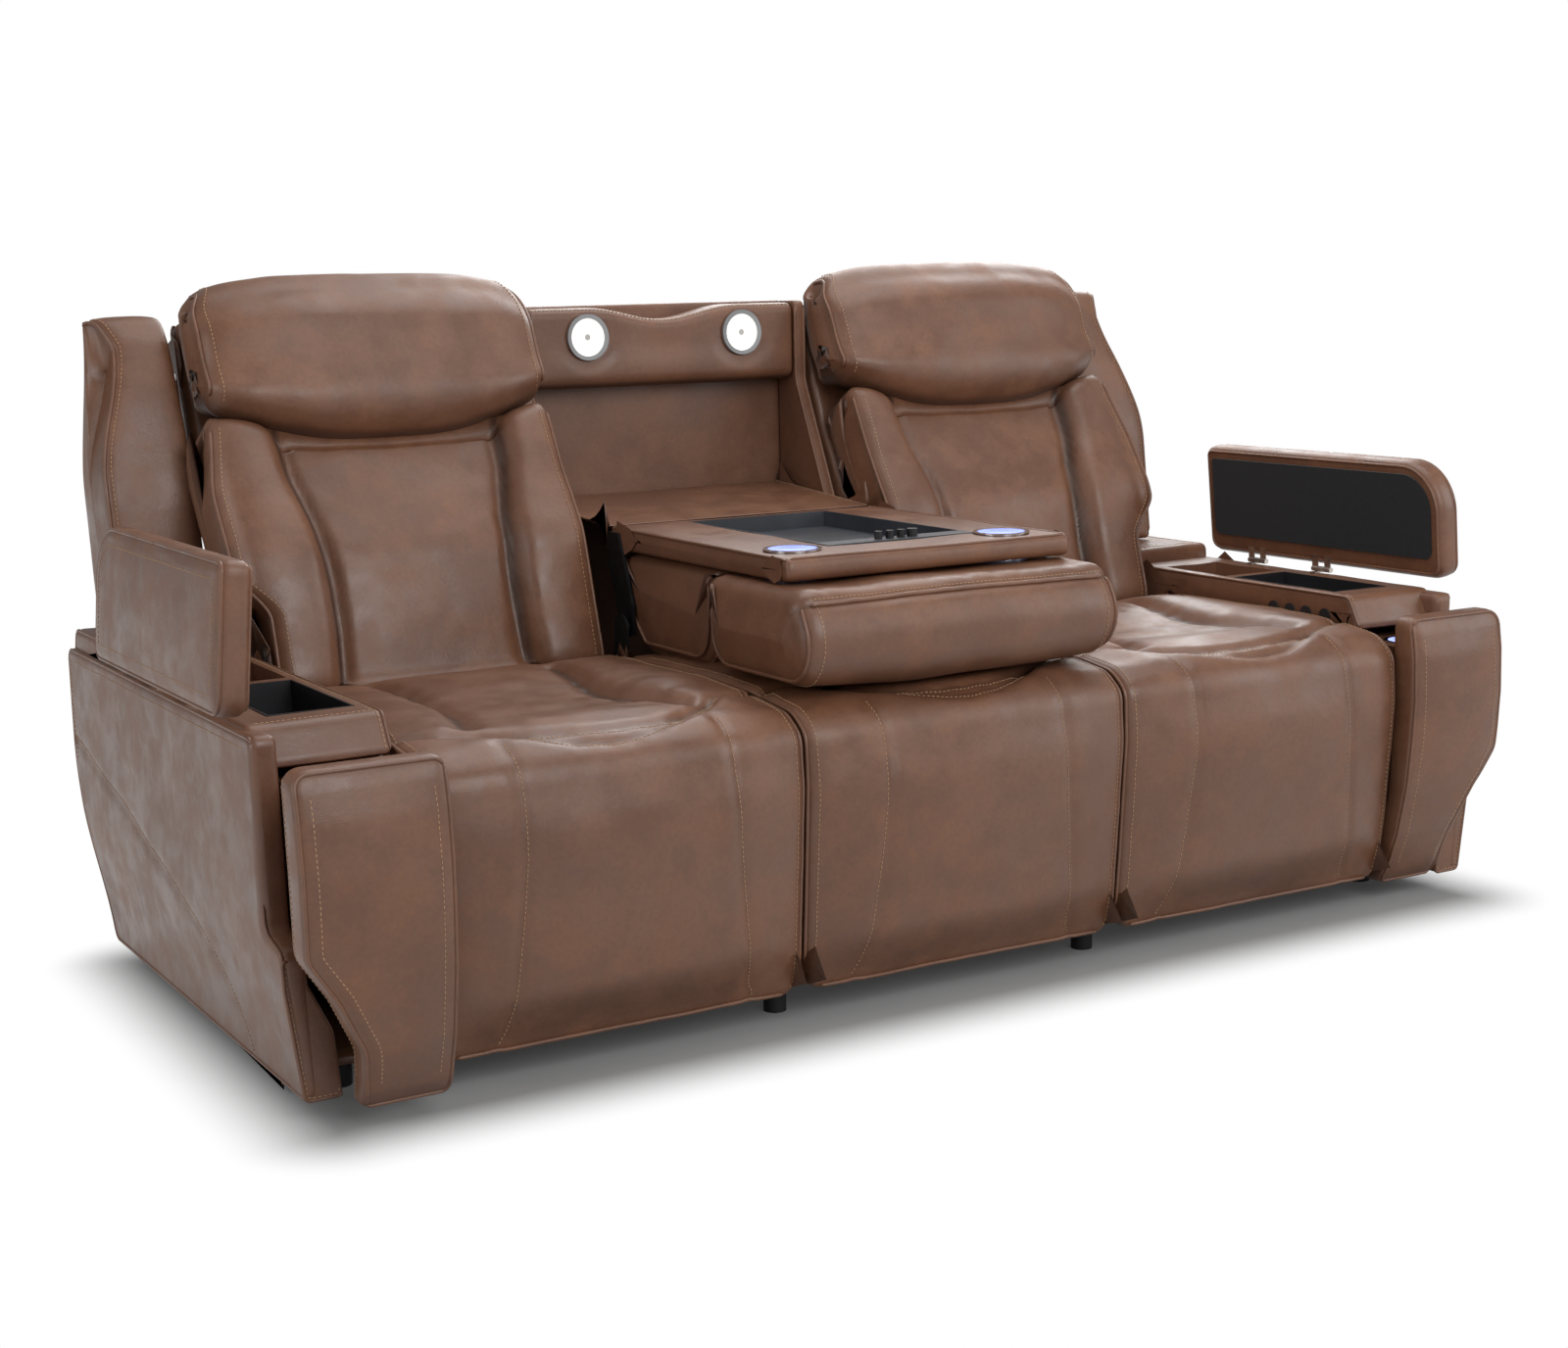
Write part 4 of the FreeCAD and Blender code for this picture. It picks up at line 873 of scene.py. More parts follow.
SEAT_REAR, MIDDLE_REAR = 148.0, 120.0
piece = seat_cover(SEAT_MIDDLE - SEAT_HALF, SEAT_MIDDLE + SEAT_HALF, SEAT_REAR)
for side, mirror in SIDES:
    made = piece.make(f"{side}_seat_cover", mirror)
    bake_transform(made)
    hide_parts(f"{side}_footrest")
core = foam_core(SEAT_MIDDLE - SEAT_HALF, SEAT_MIDDLE + SEAT_HALF, SEAT_REAR)
for side, mirror in SIDES:
    settle(core.make(f"{side}_seat_core", mirror), "frame", [f"{side}_seat"])
piece = seat_cover(-SEAT_HALF, SEAT_HALF, MIDDLE_REAR)
settle(piece.make("middle_seat_cover"), "frame", ["middle_seat"])
print("three seats")

# %% [markdown]
# The reclining backs have a flat middle panel between two fat side bolsters. The deep valleys
# between them are what gives the back its shape, so they are cut 40 mm deep and widen upward.
# The outer edges are piped, with a stitched line beside the piping. The outer side is narrow at the bottom,
# where the closed lid passes.

# %% Back pads
BACK_FOLD = [(190, 858), (186, 800), (166, 730), (157, 640), (157, 560), (162, 480), (166, 456)]
FOLD_WIDTHS = [(456, 560, 640, 730, 800, 858), (164, 157, 157, 166, 186, 190)]


def back_pad():
    """Front cushion of a reclining back."""
    face = [(186, 450, 0), (165, 470, 20), (222, 683, 160), (332, 842, 16), (354, 850, 0)]
    back = [(354, 850, 0), (444, 812, 0), (332, 643, 0), (274, 457, 0), (186, 450, 0)]
    inner_side = lambda a, b: SEAT_MIDDLE - BACK_HALF + 4 * smooth(b, 700, 840)
    outer_side = lambda a, b: SEAT_MIDDLE + 270 + 52 * smooth(b, 586, 668) - 20 * smooth(b, 770, 850)
    cover = Cover(face, back, inner_side, outer_side, 20.0, 6.5)
    x, s = cover.pattern()
    u = (x - SEAT_MIDDLE) / BACK_HALF
    z = cover.ring[:, 1][None, :]
    heights, lengths = cover.ring[:cover.faces, 1], cover.s[:cover.faces]
    folds = [Seam([(SEAT_MIDDLE + side * dx, float(np.interp(dz, heights, lengths))) for dx, dz in BACK_FOLD])
             for side in (1, -1)]
    inside = np.interp(np.broadcast_to(z, x.shape), *FOLD_WIDTHS)
    inner = 1 - smooth(np.abs(x - SEAT_MIDDLE) - inside, -14, 10)
    height = -22.0 * inner + 5.0 * inner * np.exp(-((u / 0.4) ** 4))
    lobe = (np.abs(x - SEAT_MIDDLE) - inside) / (BACK_HALF - inside)
    height = height + 12.0 * np.clip(1 - (2 * lobe - 1) ** 2, 0, 1) * (1 - inner)
    height = height * smooth(z, 440, 500)
    for seam in folds:
        distance, along = seam.measure(x, s)
        deep = 22.0 * (1 - 0.45 * smooth(z, 640, 830))
        height = height + pulled(distance, along, 1.0, 15.0) * deep
        height = height + pulled(distance, along, 0, 14.0, 1.5, 30.0, 8)
        # Painted shade in the deep valleys between the middle panel and the bolsters.
        cover.darken(0.85 * np.exp(-((distance / 8.0) ** 2)))
    height = height + 1.6 * waves(x, s, 85.0, 11) + 0.5 * waves(x, s, 30.0, 12)
    cover.puff(height)

    def shoulders(x, a, b):
        side = np.clip(np.abs(x - SEAT_MIDDLE) / BACK_HALF, 0, 1) ** 2
        rise = smooth(b, 770, 850) * (1 - smooth(a, 420, 450))
        return x, a + 14.0 * side * rise, b + 40.0 * side * rise

    cover.move(shoulders)
    piece = Piece()
    piece.cover(cover)
    low, high = nearest_s(cover, 165, 470), nearest_s(cover, 332, 842)
    piece.trim(cover, low, high)
    return piece


def back_frame_cover():
    """Leather over the frame behind the back: sides, top and outer back."""
    face = [(524, 1034, 0), (565, 1028, 18), (526, 784, 120), (400, 613, 120), (362, 407, 18), (330, 406, 0)]
    back = [(330, 406, 0), (296, 408, 5), (284, 455, 0), (336, 643, 0), (450, 814, 0), (524, 1034, 0)]
    cover = Cover(face, back, SEAT_MIDDLE - BACK_HALF + 2, SEAT_MIDDLE + BACK_HALF - 2, 12.0, 9.0)
    x, s = cover.pattern()
    height = 3.0 * np.clip(1 - ((x - SEAT_MIDDLE) / 270) ** 4, 0, 1) + 1.2 * waves(x, s, 90.0, 14)
    middle_seam = Seam([(SEAT_MIDDLE - 280, 300), (SEAT_MIDDLE + 280, 300)])
    distance, along = middle_seam.measure(x, s)
    cover.puff(height + pulled(distance, along, 4.0, 9.0, 0.8, 25, 4))
    piece = Piece()
    piece.cover(cover)
    piece.trim(cover, 12, cover.length - 20, 3.0)
    piece.sew(cover, middle_seam, 5)
    return piece


pad, shell = back_pad(), back_frame_cover()
for side, mirror in SIDES:
    made = pad.make(f"{side}_back_pad", mirror)
    settle(made, f"{side}_back", [f"{side}_back_cushion"])
    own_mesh(made)
    settle(shell.make(f"{side}_back_outer", mirror), f"{side}_back", [f"{side}_back_frame"])

# %% [markdown]
# The headrest is a soft pillow over the top of the back. Its lower edge hangs lower in the
# middle than at the sides, and its upper corners are round. The pillow has side panels, so both
# rims of the front are piped and stitched.

# %% Headrests
def headrest():
    """Pillow of the right back."""
    face = [(440, 846, 0), (384, 850, 16), (356, 905, 40), (384, 974, 200), (409, 1034, 200), (450, 1092, 40),
            (514, 1084, 24), (514, 1050, 0)]
    back = [(514, 1050, 0), (514, 1001, 0), (460, 846, 0), (440, 846, 0)]
    half = lambda b: 289 - corner_inset(1098 - b, 46)
    inner_side, outer_side = lambda a, b: SEAT_MIDDLE - half(b), lambda a, b: SEAT_MIDDLE + half(b)
    cover = Cover(face, back, inner_side, outer_side, 20.0, 6.5, 6.0)
    x, s = cover.pattern()
    u = (x - SEAT_MIDDLE) / 289
    z = cover.ring[:, 1][None, :]
    body = smooth(s, 24, 90) * (1 - 0.72 * smooth(z, 1020, 1092))
    height = 44.0 * np.clip(1 - np.abs(u) ** 3.4, 0, 1) ** 0.8 * body
    height = height + 2.2 * waves(x, s, 110.0, 21) + 0.8 * waves(x, s, 40.0, 22)
    gather = np.exp(-((s - 95.0) / 26.0) ** 2)
    height = height + gather * 1.6 * waves(x, s * 0.25, 26.0, 23)
    cover.puff(height)
    # Painted shade on the lower roll of the pillow, where it tucks in over the back.
    cover.darken(0.8 * (1 - smooth(s, 40.0, 112.0)))

    def sag(x, a, b):
        low = 1 - smooth(b, 850, 985)
        side = np.clip(np.abs(x - SEAT_MIDDLE) / 289, 0, 1)
        return x, a, b + 48.0 * side**2 * low + (4.0 - 20.0 * side**5) * smooth(b, 990, 1092)

    cover.move(sag)
    piece = Piece()
    piece.cover(cover)
    low, high = nearest_s(cover, 366, 880), cover.length - 40
    piece.trim(cover, low, high)
    return piece


pillow = headrest()
for side, mirror in SIDES:
    settle(pillow.make(f"{side}_headrest_pillow", mirror), f"{side}_head", [f"{side}_headrest"])

# %% [markdown]
# Behind each arm stands a padded tower that hides the edge of the reclining back. In side view
# its front leans back toward a rolled top, and its rear is straight.

# %% Wings
def wing():
    """Padded tower behind the right arm: its outer edge leans in and back toward the top."""
    face = [(382, 558, 0), (410, 776, 300), (460, 916, 300), (502, 1004, 60), (532, 1040, 26), (558, 1040, 8),
            (558, 800, 100), (540, 558, 0)]
    rear_outer = lambda b: 1039 - 20 * smooth(b, 760, 1041)
    front_cut = lambda b: 34 * smooth(b, 800, 1000)
    high = lambda a, b: rear_outer(b) - front_cut(b) * np.clip((560 - a) / 62, 0, 1)
    back = [(540, 558, 0), (382, 558, 0)]
    cover = Cover(face, back, 893, high, 12.0, 6.5, 2.0, spine=((470, 650), (530, 960)))
    x, s = cover.pattern()
    share = (x - 893) / np.maximum(cover.x.max(axis=0)[None, :] - 893, 1)
    height = 7.0 * np.clip(1 - np.abs(2 * share - 1) ** 3, 0, 1) + 1.2 * waves(x, s, 80.0, 31)
    cover.puff(height)
    piece = Piece()
    piece.cover(cover)
    piece.trim(cover, 8, nearest_s(cover, 558, 1036), ends=(True,))
    return piece


tower = wing()
right_wing = tower.make("right_wing")
settle(right_wing, "frame", ["side_wings"])
settle(tower.make("left_wing", True), "frame", [])

# %% [markdown]
# The arm is a box with a drawer. Its outer face is one large padded panel with a long curved
# seam, the front edge turns in as a wrap with an S-shaped edge, and the top is a console with a
# bin, a small compartment behind it and a raised block.

# %% Arm panels
ARM_INNER, ARM_OUTER = 882.0, 1079.0
ARM_SEAM = [(575, 372), (420, 338), (250, 300), (120, 264), (16, 232), (-80, 190), (-160, 132), (-234, 38)]


def arm_relief(u, v):
    """Curved seam across the outer panel, in (y, z)."""
    seam = Seam(ARM_SEAM)
    distance, along = seam.measure(u, v)
    return pulled(distance, along, 3.4, 10.0, 0.6, 24.0, 41) + 1.6 * waves(u, v, 120.0, 42)


def arm_panel():
    """Outer panel of the right arm: thickness along x."""
    outline = [(-448, 36, 10), (490, 36, 25), (580, 330, 250), (560, 522, 25), (-388, 522, 12),
               (-388, 262, 20), (-448, 246, 16)]
    place = lambda u, v, h: (ARM_OUTER - 30 + h - 20 * (1 - smooth(v, 40, 270)) * h / 38, u, v)
    plate = Plate(outline, 38.0, place, 11.0, 4.0, 7.5, arm_relief)
    return plate


def arm_wrap():
    """Fixed front piece beside the drawer, with its S-shaped edge."""
    outline = [(1014, 36, 6), (1020, 128, 60), (1054, 203, 60), (1072, 234, 5), (1085, 234, 5),
               (1084, 190, 90), (1067, 36, 8)]
    place = lambda u, v, h: (u, -392 - h, v)
    return Plate(outline, 55.0, place, 3.0, 0.5, 5.0, hem=0.2)


def inner_wall():
    """Seat-side wall of the arm, from its floor to the console."""
    outline = [(-336, 37, 4), (488, 37, 20), (572, 330, 200), (556, 466, 10), (-336, 466, 4)]
    place = lambda u, v, h: (ARM_INNER + 11.5 - h, u, v)
    return Plate(outline, 11.0, place, 3.0, 0.0, 14.0)


def arm_rear():
    """Rear wall and floor board between the two side walls."""
    cover = Cover([(-330, 36, 0), (480, 36, 4), (490, 48, 8), (556, 330, 60), (556, 466, 4), (546, 466, 0)],
                  [(546, 466, 0), (546, 330, 60), (478, 48, 4), (-330, 46, 0)], 896, 1048, 3.0, 12.0, 0.5)
    cover.puff(0.8 * waves(*cover.pattern(), 70.0, 45))
    return cover


def arm_piece():
    """All fixed leather of one arm below the console."""
    piece = Piece()
    plate = arm_panel()
    piece.cover(plate)
    row = plate.front - 2
    piece.tube(*plate.line(row, (-388, 300), (-388, 515)), 2.8)
    piece.stitches(*plate.line(plate.front + 2, (540, 522), (-380, 522)))
    piece.stitches(*plate.line(plate.front + 2, (560, 330), (560, 515)))
    line = Seam(ARM_SEAM).beside(4.5)
    piece.stitches(*on_plate(plate, line))
    wrap = arm_wrap()
    piece.cover(wrap)
    piece.tube(*wrap.line(wrap.front - 2, (1072, 234), (1014, 40)), 2.8)
    piece.stitches(*wrap.line(wrap.front + 2, (1072, 230), (1014, 44)))
    piece.cover(inner_wall())
    piece.cover(arm_rear())
    return piece


def on_plate(plate, line):
    """Positions and directions on the front of a plate nearest to outline points (u, v)."""
    rows = slice(plate.front, None)
    flat = np.vstack([plate.flat[rows].reshape(-1, 2), plate.net_flat])
    points = np.vstack([plate.points[rows].reshape(-1, 3), plate.net])
    flat_out = np.tile(plate.out[-1, 0], (len(plate.net), 1))
    normals = np.vstack([plate.normals()[rows].reshape(-1, 3), flat_out])
    places, outs = [], []
    for spot in line:
        distance = np.linalg.norm(flat - spot, axis=1)
        near = np.argsort(distance)[:6]
        weight = 1 / (distance[near] + 0.5) ** 2
        weight /= weight.sum()
        places.append(weight @ points[near])
        outs.append(weight @ normals[near])
    places, outs = np.array(places), np.array(outs)
    return places + outs * 0.3, outs / np.linalg.norm(outs, axis=1, keepdims=True)


arm = arm_piece()
for side, mirror in SIDES:
    settle(arm.make(f"{side}_arm_cover", mirror), "frame", [f"{side}_arm_side"])

# %% [markdown]
# The console top is a padded board with openings, so it is made whole and the openings are cut
# out of it with a Boolean modifier, which leaves clean edges for the plastic bin to sit in.

# %% Consoles
def cut_out(made, boxes=(), rods=()):
    """Cuts boxes (low, high) and upright rods (x, y, radius, low, high) out of an object."""
    cutters = []
    for low, high in boxes:
        corners = [(x, y, z) for z in (low[2], high[2]) for x, y in
                   ((low[0], low[1]), (high[0], low[1]), (high[0], high[1]), (low[0], high[1]))]
        faces = [(3, 2, 1, 0), (4, 5, 6, 7)] + [(k, (k + 1) % 4, (k + 1) % 4 + 4, k + 4) for k in range(4)]
        cutters.append((corners, faces))
    for x, y, radius, low, high in rods:
        turns = [2 * math.pi * k / 48 for k in range(48)]
        rim = [(x + radius * math.cos(t), y + radius * math.sin(t)) for t in turns]
        corners = [(*spot, z) for z in (low, high) for spot in rim]
        faces = [tuple(reversed(range(48))), tuple(range(48, 96))]
        faces += [(k, (k + 1) % 48, (k + 1) % 48 + 48, k + 48) for k in range(48)]
        cutters.append((corners, faces))
    for corners, faces in cutters:
        cutter = mesh_object("cutter", [[value * MM for value in corner] for corner in corners], faces)
        boolean = made.modifiers.new("cut", "BOOLEAN")
        boolean.operation, boolean.solver, boolean.object = "DIFFERENCE", "EXACT", cutter
        bpy.context.view_layer.update()
        shaped = made.evaluated_get(bpy.context.evaluated_depsgraph_get())
        result = bpy.data.meshes.new_from_object(shaped)
        made.modifiers.remove(boolean)
        made.data = result
        bpy.data.objects.remove(cutter)
    made.data.set_sharp_from_angle(angle=math.radians(50))


def console_top():
    """Leather top of the right console with piping along its front and inner edges."""
    face = [(-352, 470, 0), (-370, 474, 6), (-340, 528, 16), (248, 529, 4), (248, 500, 0)]
    cover = Cover(face, [(248, 500, 0), (248, 469, 0), (-352, 470, 0)], 884, 1077, 9.0, 7.0, 2.0)
    x, s = cover.pattern()
    cover.puff(1.0 * waves(x, s, 60.0, 51))
    piece = Piece()
    piece.cover(cover)
    piece.trim(cover, 18, cover.length - 36, 2.6, 0.8, (False,))
    piece.stitches(*cover.at([(x, 86) for x in np.linspace(896, 1064, 60)], 0.3))
    return piece


def raised_block():
    """Block behind the compartment, under the wing."""
    face = [(252, 470, 0), (252, 555, 15), (536, 555, 25), (572, 470, 0)]
    cover = Cover(face, [(572, 470, 0), (252, 470, 0)], 884, 1077, 12.0, 7.5, 2.0)
    x, s = cover.pattern()
    cover.puff(1.2 * waves(x, s, 60.0, 52))
    piece = Piece()
    piece.cover(cover)
    for side in (False, True):
        piece.tube(*cover.edge(side, 6, cover.length - 6, 2, 0.8), 2.6)
    piece.stitches(*cover.at([(x, 100) for x in np.linspace(896, 1064, 60)], 0.3))
    return piece


top, block = console_top(), raised_block()
for side, mirror in SIDES:
    way = -1 if mirror else 1
    made = top.make(f"{side}_console_top", mirror)
    spans = sorted((way * 903.6, way * 1028.4))
    bin_box = (spans[0], -284.4, 460), (spans[1], -23.6, 560)
    pocket_box = (spans[0], 2, 474), (spans[1], 168, 560)
    cut_out(made, [bin_box, pocket_box])
    settle(made, "frame", [f"{side}_console"])
    settle(block.make(f"{side}_console_block", mirror), "frame", [])

# %% [markdown]
# The drawer fronts stand in front of the arms, one pulled out further than the other. A front is
# a thick shaped pad: straight inner edge, an S-shaped outer edge at the bottom, and a face that
# swells forward toward the upper half.

# %% Drawer fronts
FRONT_PROFILE = np.array([(32, -386), (60, -404), (130, -428), (222, -446), (300, -453), (366, -456),
                          (440, -452), (480, -445), (508, -436)], float)
REAR_PROFILE = np.array([(32, -346), (120, -376), (192, -392), (240, -394), (508, -394)], float)
PULLS = {"right": 50.0, "left": 123.5}


def drawer_front(pull):
    """Padded drawer front, pulled out by some millimetres."""
    outline = [(886, 34, 14), (1010, 34, 10), (1016, 120, 70), (1054, 200, 80), (1094, 262, 40),
               (1094, 506, 24), (886, 506, 18)]

    def place(u, v, h):
        rear = np.interp(v, REAR_PROFILE[:, 0], REAR_PROFILE[:, 1])
        front = np.interp(v, FRONT_PROFILE[:, 0], FRONT_PROFILE[:, 1])
        return u, rear + (front - rear) * h / 60.0 - pull, v

    relief = lambda u, v: 1.2 * waves(u, v, 80.0, 61)
    plate = Plate(outline, 60.0, place, 14.0, 9.0, 6.5, relief)
    piece = Piece()
    piece.cover(plate)
    piece.tube(*plate.line(plate.front - 2, (886, 500), (1010, 34)), 3.0)
    piece.tube(*plate.line(plate.front - 2, (1010, 36), (886, 500)), 3.0)
    piece.stitches(*plate.line(plate.front + 2, (1010, 36), (1094, 500)))
    piece.stitches(*plate.line(plate.front + 2, (886, 500), (886, 40)))
    piece.stitches(*plate.line(plate.side, (1010, 40), (1094, 500)))
    return piece


for side, mirror in SIDES:
    made = drawer_front(PULLS[side]).make(f"{side}_drawer_pad", mirror)
    settle(made, f"{side}_drawer", [f"{side}_drawer_front"])

# %% [markdown]
# Both lids stand open on their hinges. A lid is drawn lying closed over its console, which is
# where its outline makes sense, and then turned about the hinge line by the opening angle.

# %% Lids
LID_TURN = math.radians(84.0)
LID_AXIS = (1079.0, 534.0)


def opened(u, v, h):
    """Closed lid point (x, y, height over the hinge) turned open."""
    dx, dz = u - LID_AXIS[0], h
    x = LID_AXIS[0] + dx * math.cos(LID_TURN) + dz * math.sin(LID_TURN)
    z = LID_AXIS[1] - dx * math.sin(LID_TURN) + dz * math.cos(LID_TURN)
    return x, v, z


def lid(front_round, rear_round):
    """Padded lid of the right console, with the two rounds of its free edge."""
    outline = [(865, -370, front_round), (1071, -370, 26), (1071, 242, 26), (865, 242, rear_round)]
    relief = lambda u, v: 1.5 * waves(u, v, 90.0, 71)
    plate = Plate(outline, 45.0, opened, 15.0, 5.0, 6.5, relief)
    piece = Piece()
    piece.cover(plate)
    piece.tube(*plate.line(plate.front - 2), 3.0)
    piece.stitches(*plate.line(plate.front + 3))
    piece.tube(*plate.line(plate.side - 3), 2.6)
    return piece


for side, mirror, rounds in (("right", False, (90, 16)), ("left", True, (16, 90))):
    settle(lid(*rounds).make(f"{side}_lid_cover", mirror), f"{side}_lid", [f"{side}_lid_pad"])

# %% [markdown]
# The middle tower has side walls, a rear wall and a light panel with a hollow top edge. The panel
# is a soft roll, so the lamps are pressed into it: the leather sinks where their rings sit.

# %% Tower
TOWER_HALF = 268.0


def light_pad():
    """Padded panel that holds the two lamps."""
    face = [(546, 902, 0), (486, 902, 22), (484, 1040, 16), (546, 1040, 0)]
    cover = Cover(face, [(546, 1040, 0), (546, 902, 0)], -TOWER_HALF + 1, TOWER_HALF - 1, 8.0, 5.0, 1.0)
    x, s = cover.pattern()
    z = cover.ring[:, 1][None, :]
    well = np.hypot(np.abs(x) - 156.0, z - 990.0)
    swell = 5.0 * np.exp(-((z - 935.0) / 30.0) ** 2) * (1 - np.abs(x / TOWER_HALF) ** 4)
    facing = cover.ring[:, 0][None, :] < 500
    height = swell * smooth(well, 44, 70) - 9.0 * (1 - smooth(well, 34, 40)) * facing
    cover.puff(height + 0.6 * waves(x, s, 45.0, 81) * smooth(well, 44, 60))
    # Painted shade along the fold at the bottom of the panel.
    fold = np.exp(-((z - 905.0) / 7.0) ** 2)
    cover.darken(0.8 * fold)

    def hollow(x, a, b):
        depth = np.where(np.abs(x) < 150, 22.0 * (0.5 + 0.5 * np.cos(np.pi * np.clip(x / 150, -1, 1))), 0)
        return x, a, b - depth * smooth(b, 940, 1041)

    cover.move(hollow)
    piece = Piece()
    piece.cover(cover)
    top = nearest_s(cover, 490, 1036)
    line = np.column_stack([np.linspace(-262, 262, 110), np.full(110, top)])
    piece.stitches(*cover.at(line, 0.3))
    return piece


def flat_board(outline, thick, place, seed, step=10.0):
    """A thinly padded board."""
    return Plate(outline, thick, place, 5.0, 1.5, step, lambda u, v: 1.0 * waves(u, v, 110.0, seed))


def tower_walls():
    """Rear wall, side walls and lower rear panels."""
    piece = Piece()
    outline = [(-289, 62, 6), (289, 62, 6), (289, 1044, 10), (-289, 1044, 10)]
    front = flat_board(outline, 12.0, lambda u, v, h: (u, 562 - h, v), 82)
    rear = flat_board(outline, 13.0, lambda u, v, h: (u, 561.5 + h, v), 83)
    for plate in (front, rear):
        piece.cover(plate)
    piece.stitches(*rear.line(rear.front + 3))
    outline = [(502, 62, 4), (547, 62, 4), (547, 1044, 4), (481, 1044, 12), (481, 900, 60), (341, 600, 100),
               (322, 422, 10), (502, 382, 10)]
    for way in (1, -1):
        side = flat_board(outline, 21.0, lambda u, v, h: (way * (268.5 + h), u, v), 84, 7.0)
        piece.cover(side)
        piece.tube(*side.line(side.front - 2, (481, 1030), (322, 430)), 2.8)
        piece.tube(*side.line(side.side - 2, (481, 1030), (322, 430)), 2.8)
        piece.stitches(*side.line(side.side - 1, (481, 1030), (322, 430)))
        outline_low = [(292, 62, 4), (880, 62, 4), (880, 398, 4), (292, 398, 4)]
        low = flat_board(outline_low, 11.0, lambda u, v, h: (way * u, 540.5 + h, v), 85, 14.0)
        piece.cover(low)
    return piece


settle(light_pad().make("light_panel_pad"), "frame", ["light_panel"])
settle(tower_walls().make("tower_cover"), "frame", ["back_shell"])

# %% [markdown]
# The middle back is folded down as a console. Its slab carries a tray and two cups, so it gets
# clean openings. Below it hang the back cushion and, in front, the long bolster of the headrest.

# %% Folded console
TABLE_HALF = 259.0


def slab_cover():
    """Leather slab before its openings are cut."""
    face = [(-330, 649, 0), (-366, 652, 10), (-366, 685, 12), (214, 687, 6), (214, 660, 0)]
    back = [(214, 660, 0), (214, 649, 0), (-330, 649, 0)]
    cover = Cover(face, back, -TABLE_HALF, TABLE_HALF, 9.0, 7.0, 1.5)
    x, s = cover.pattern()
    cover.puff(0.8 * waves(x, s, 90.0, 91))
    piece = Piece()
    piece.cover(cover)
    top = nearest_s(cover, -360, 685)
    for side in (False, True):
        piece.tube(*cover.edge(side, top - 4, cover.length - 24, 2, 0.8), 2.6)
        piece.stitches(*cover.edge(side, top + 8, cover.length - 24, 4, 0.3))
    line = np.column_stack([np.linspace(-250, 250, 90), np.full(90, top + 6)])
    piece.stitches(*cover.at(line, 0.3))
    piece.tube(*cover.at(line - (0, 8), 0.6), 2.4)
    return piece


def fold_cushion():
    """Back cushion hanging under the slab."""
    face = [(198, 640, 0), (170, 546, 60), (110, 488, 30), (-118, 488, 60), (-130, 600, 40), (-130, 645, 0)]
    cover = Cover(face, [(-130, 645, 0), (198, 645, 0)], -TABLE_HALF + 4, TABLE_HALF - 4, 26.0, 7.0, 7.0,
                  spine=((-80, 570), (110, 590)))
    x, s = cover.pattern()
    u = x / TABLE_HALF
    height = 8.0 * np.clip(1 - np.abs(u) ** 3, 0, 1)
    cover.puff(height + 2.0 * waves(x, s, 90.0, 92) + 0.8 * waves(x, s, 35.0, 93))
    piece = Piece()
    piece.cover(cover)
    piece.trim(cover, 20, cover.length - 20, turn=1)
    return piece


def bolster():
    """Headrest of the folded back, now the roll in front of the slab."""
    face = [(-160, 640, 0), (-160, 504, 60), (-432, 504, 56), (-472, 566, 62), (-432, 645, 36),
            (-330, 645, 0)]
    cover = Cover(face, [(-330, 645, 0), (-160, 645, 0)], -287, 287, 30.0, 6.5, 9.0,
                  spine=((-400, 572), (-220, 572)))
    x, s = cover.pattern()
    u = x / 286
    z = cover.ring[:, 1][None, :]
    height = 10.0 * np.clip(1 - np.abs(u) ** 2.6, 0, 1) * (1 - smooth(z, 610, 645))
    height = height + 2.0 * waves(x, s, 110.0, 95)
    seam = nearest_s(cover, -446, 628)
    distance = np.abs(s - seam)
    height = height + pulled(distance, x, 5.0, 9.0, 1.4, 20.0, 96)
    gather = np.exp(-((s - seam - 22.0) / 26.0) ** 2)
    height = height + gather * 1.5 * waves(x, s * 0.3, 17.0, 97)
    # Painted shade along the seam of the bolster.
    cover.darken(0.5 * np.exp(-((distance / 5.0) ** 2)))
    cover.puff(height)
    piece = Piece()
    piece.cover(cover)
    line = np.column_stack([np.linspace(-266, 266, 110), np.full(110, seam)])
    piece.tube(*cover.at(line, 2.0), 3.4)
    piece.stitches(*cover.at(line + (0, 9), 0.3))
    piece.trim(cover, 40, seam, 3.4)
    return piece


slab = slab_cover().make("table_slab")
cut_out(slab, [((-125.3, -262.3, 640), (148.3, 190.3, 720))],
        [(-194, -271, 40.4, 640, 720), (180, -290, 40.4, 640, 720)])
settle(slab, "table", ["table_top"])
settle(fold_cushion().make("table_back_cushion"), "table", ["table_cushion"])
settle(bolster().make("table_bolster_pad"), "table", ["table_bolster"])

# %% [markdown]
# A flap of leather bridges the gap between the slab and the rear wall, made as one piece in the folded-down
# pose.

# %% Bridge flap
def flap():
    """Thin leather flap over the hinge gap."""
    face = [(216, 687, 0), (380, 699, 900), (548, 710, 0)]
    back = [(548, 706, 0), (380, 695, 900), (216, 683, 0)]
    cover = Cover(face, back, -TABLE_HALF, TABLE_HALF, 2.0, 9.0, 0.5)
    x, s = cover.pattern()
    cover.puff(0.9 * waves(x, s, 120.0, 99))
    piece = Piece()
    piece.cover(cover)
    for side in (False, True):
        piece.stitches(*cover.edge(side, 6, cover.length - 6, 4, 0.3))
    return piece


made = flap().make("bridge_flap_leather")
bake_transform(made)
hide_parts("bridge_flap")

# %% [markdown]
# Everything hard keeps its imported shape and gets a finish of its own: painted steel with a fine
# orange peel, brushed nickel, moulded plastic with a spark-eroded grain, chrome, felt and glass.

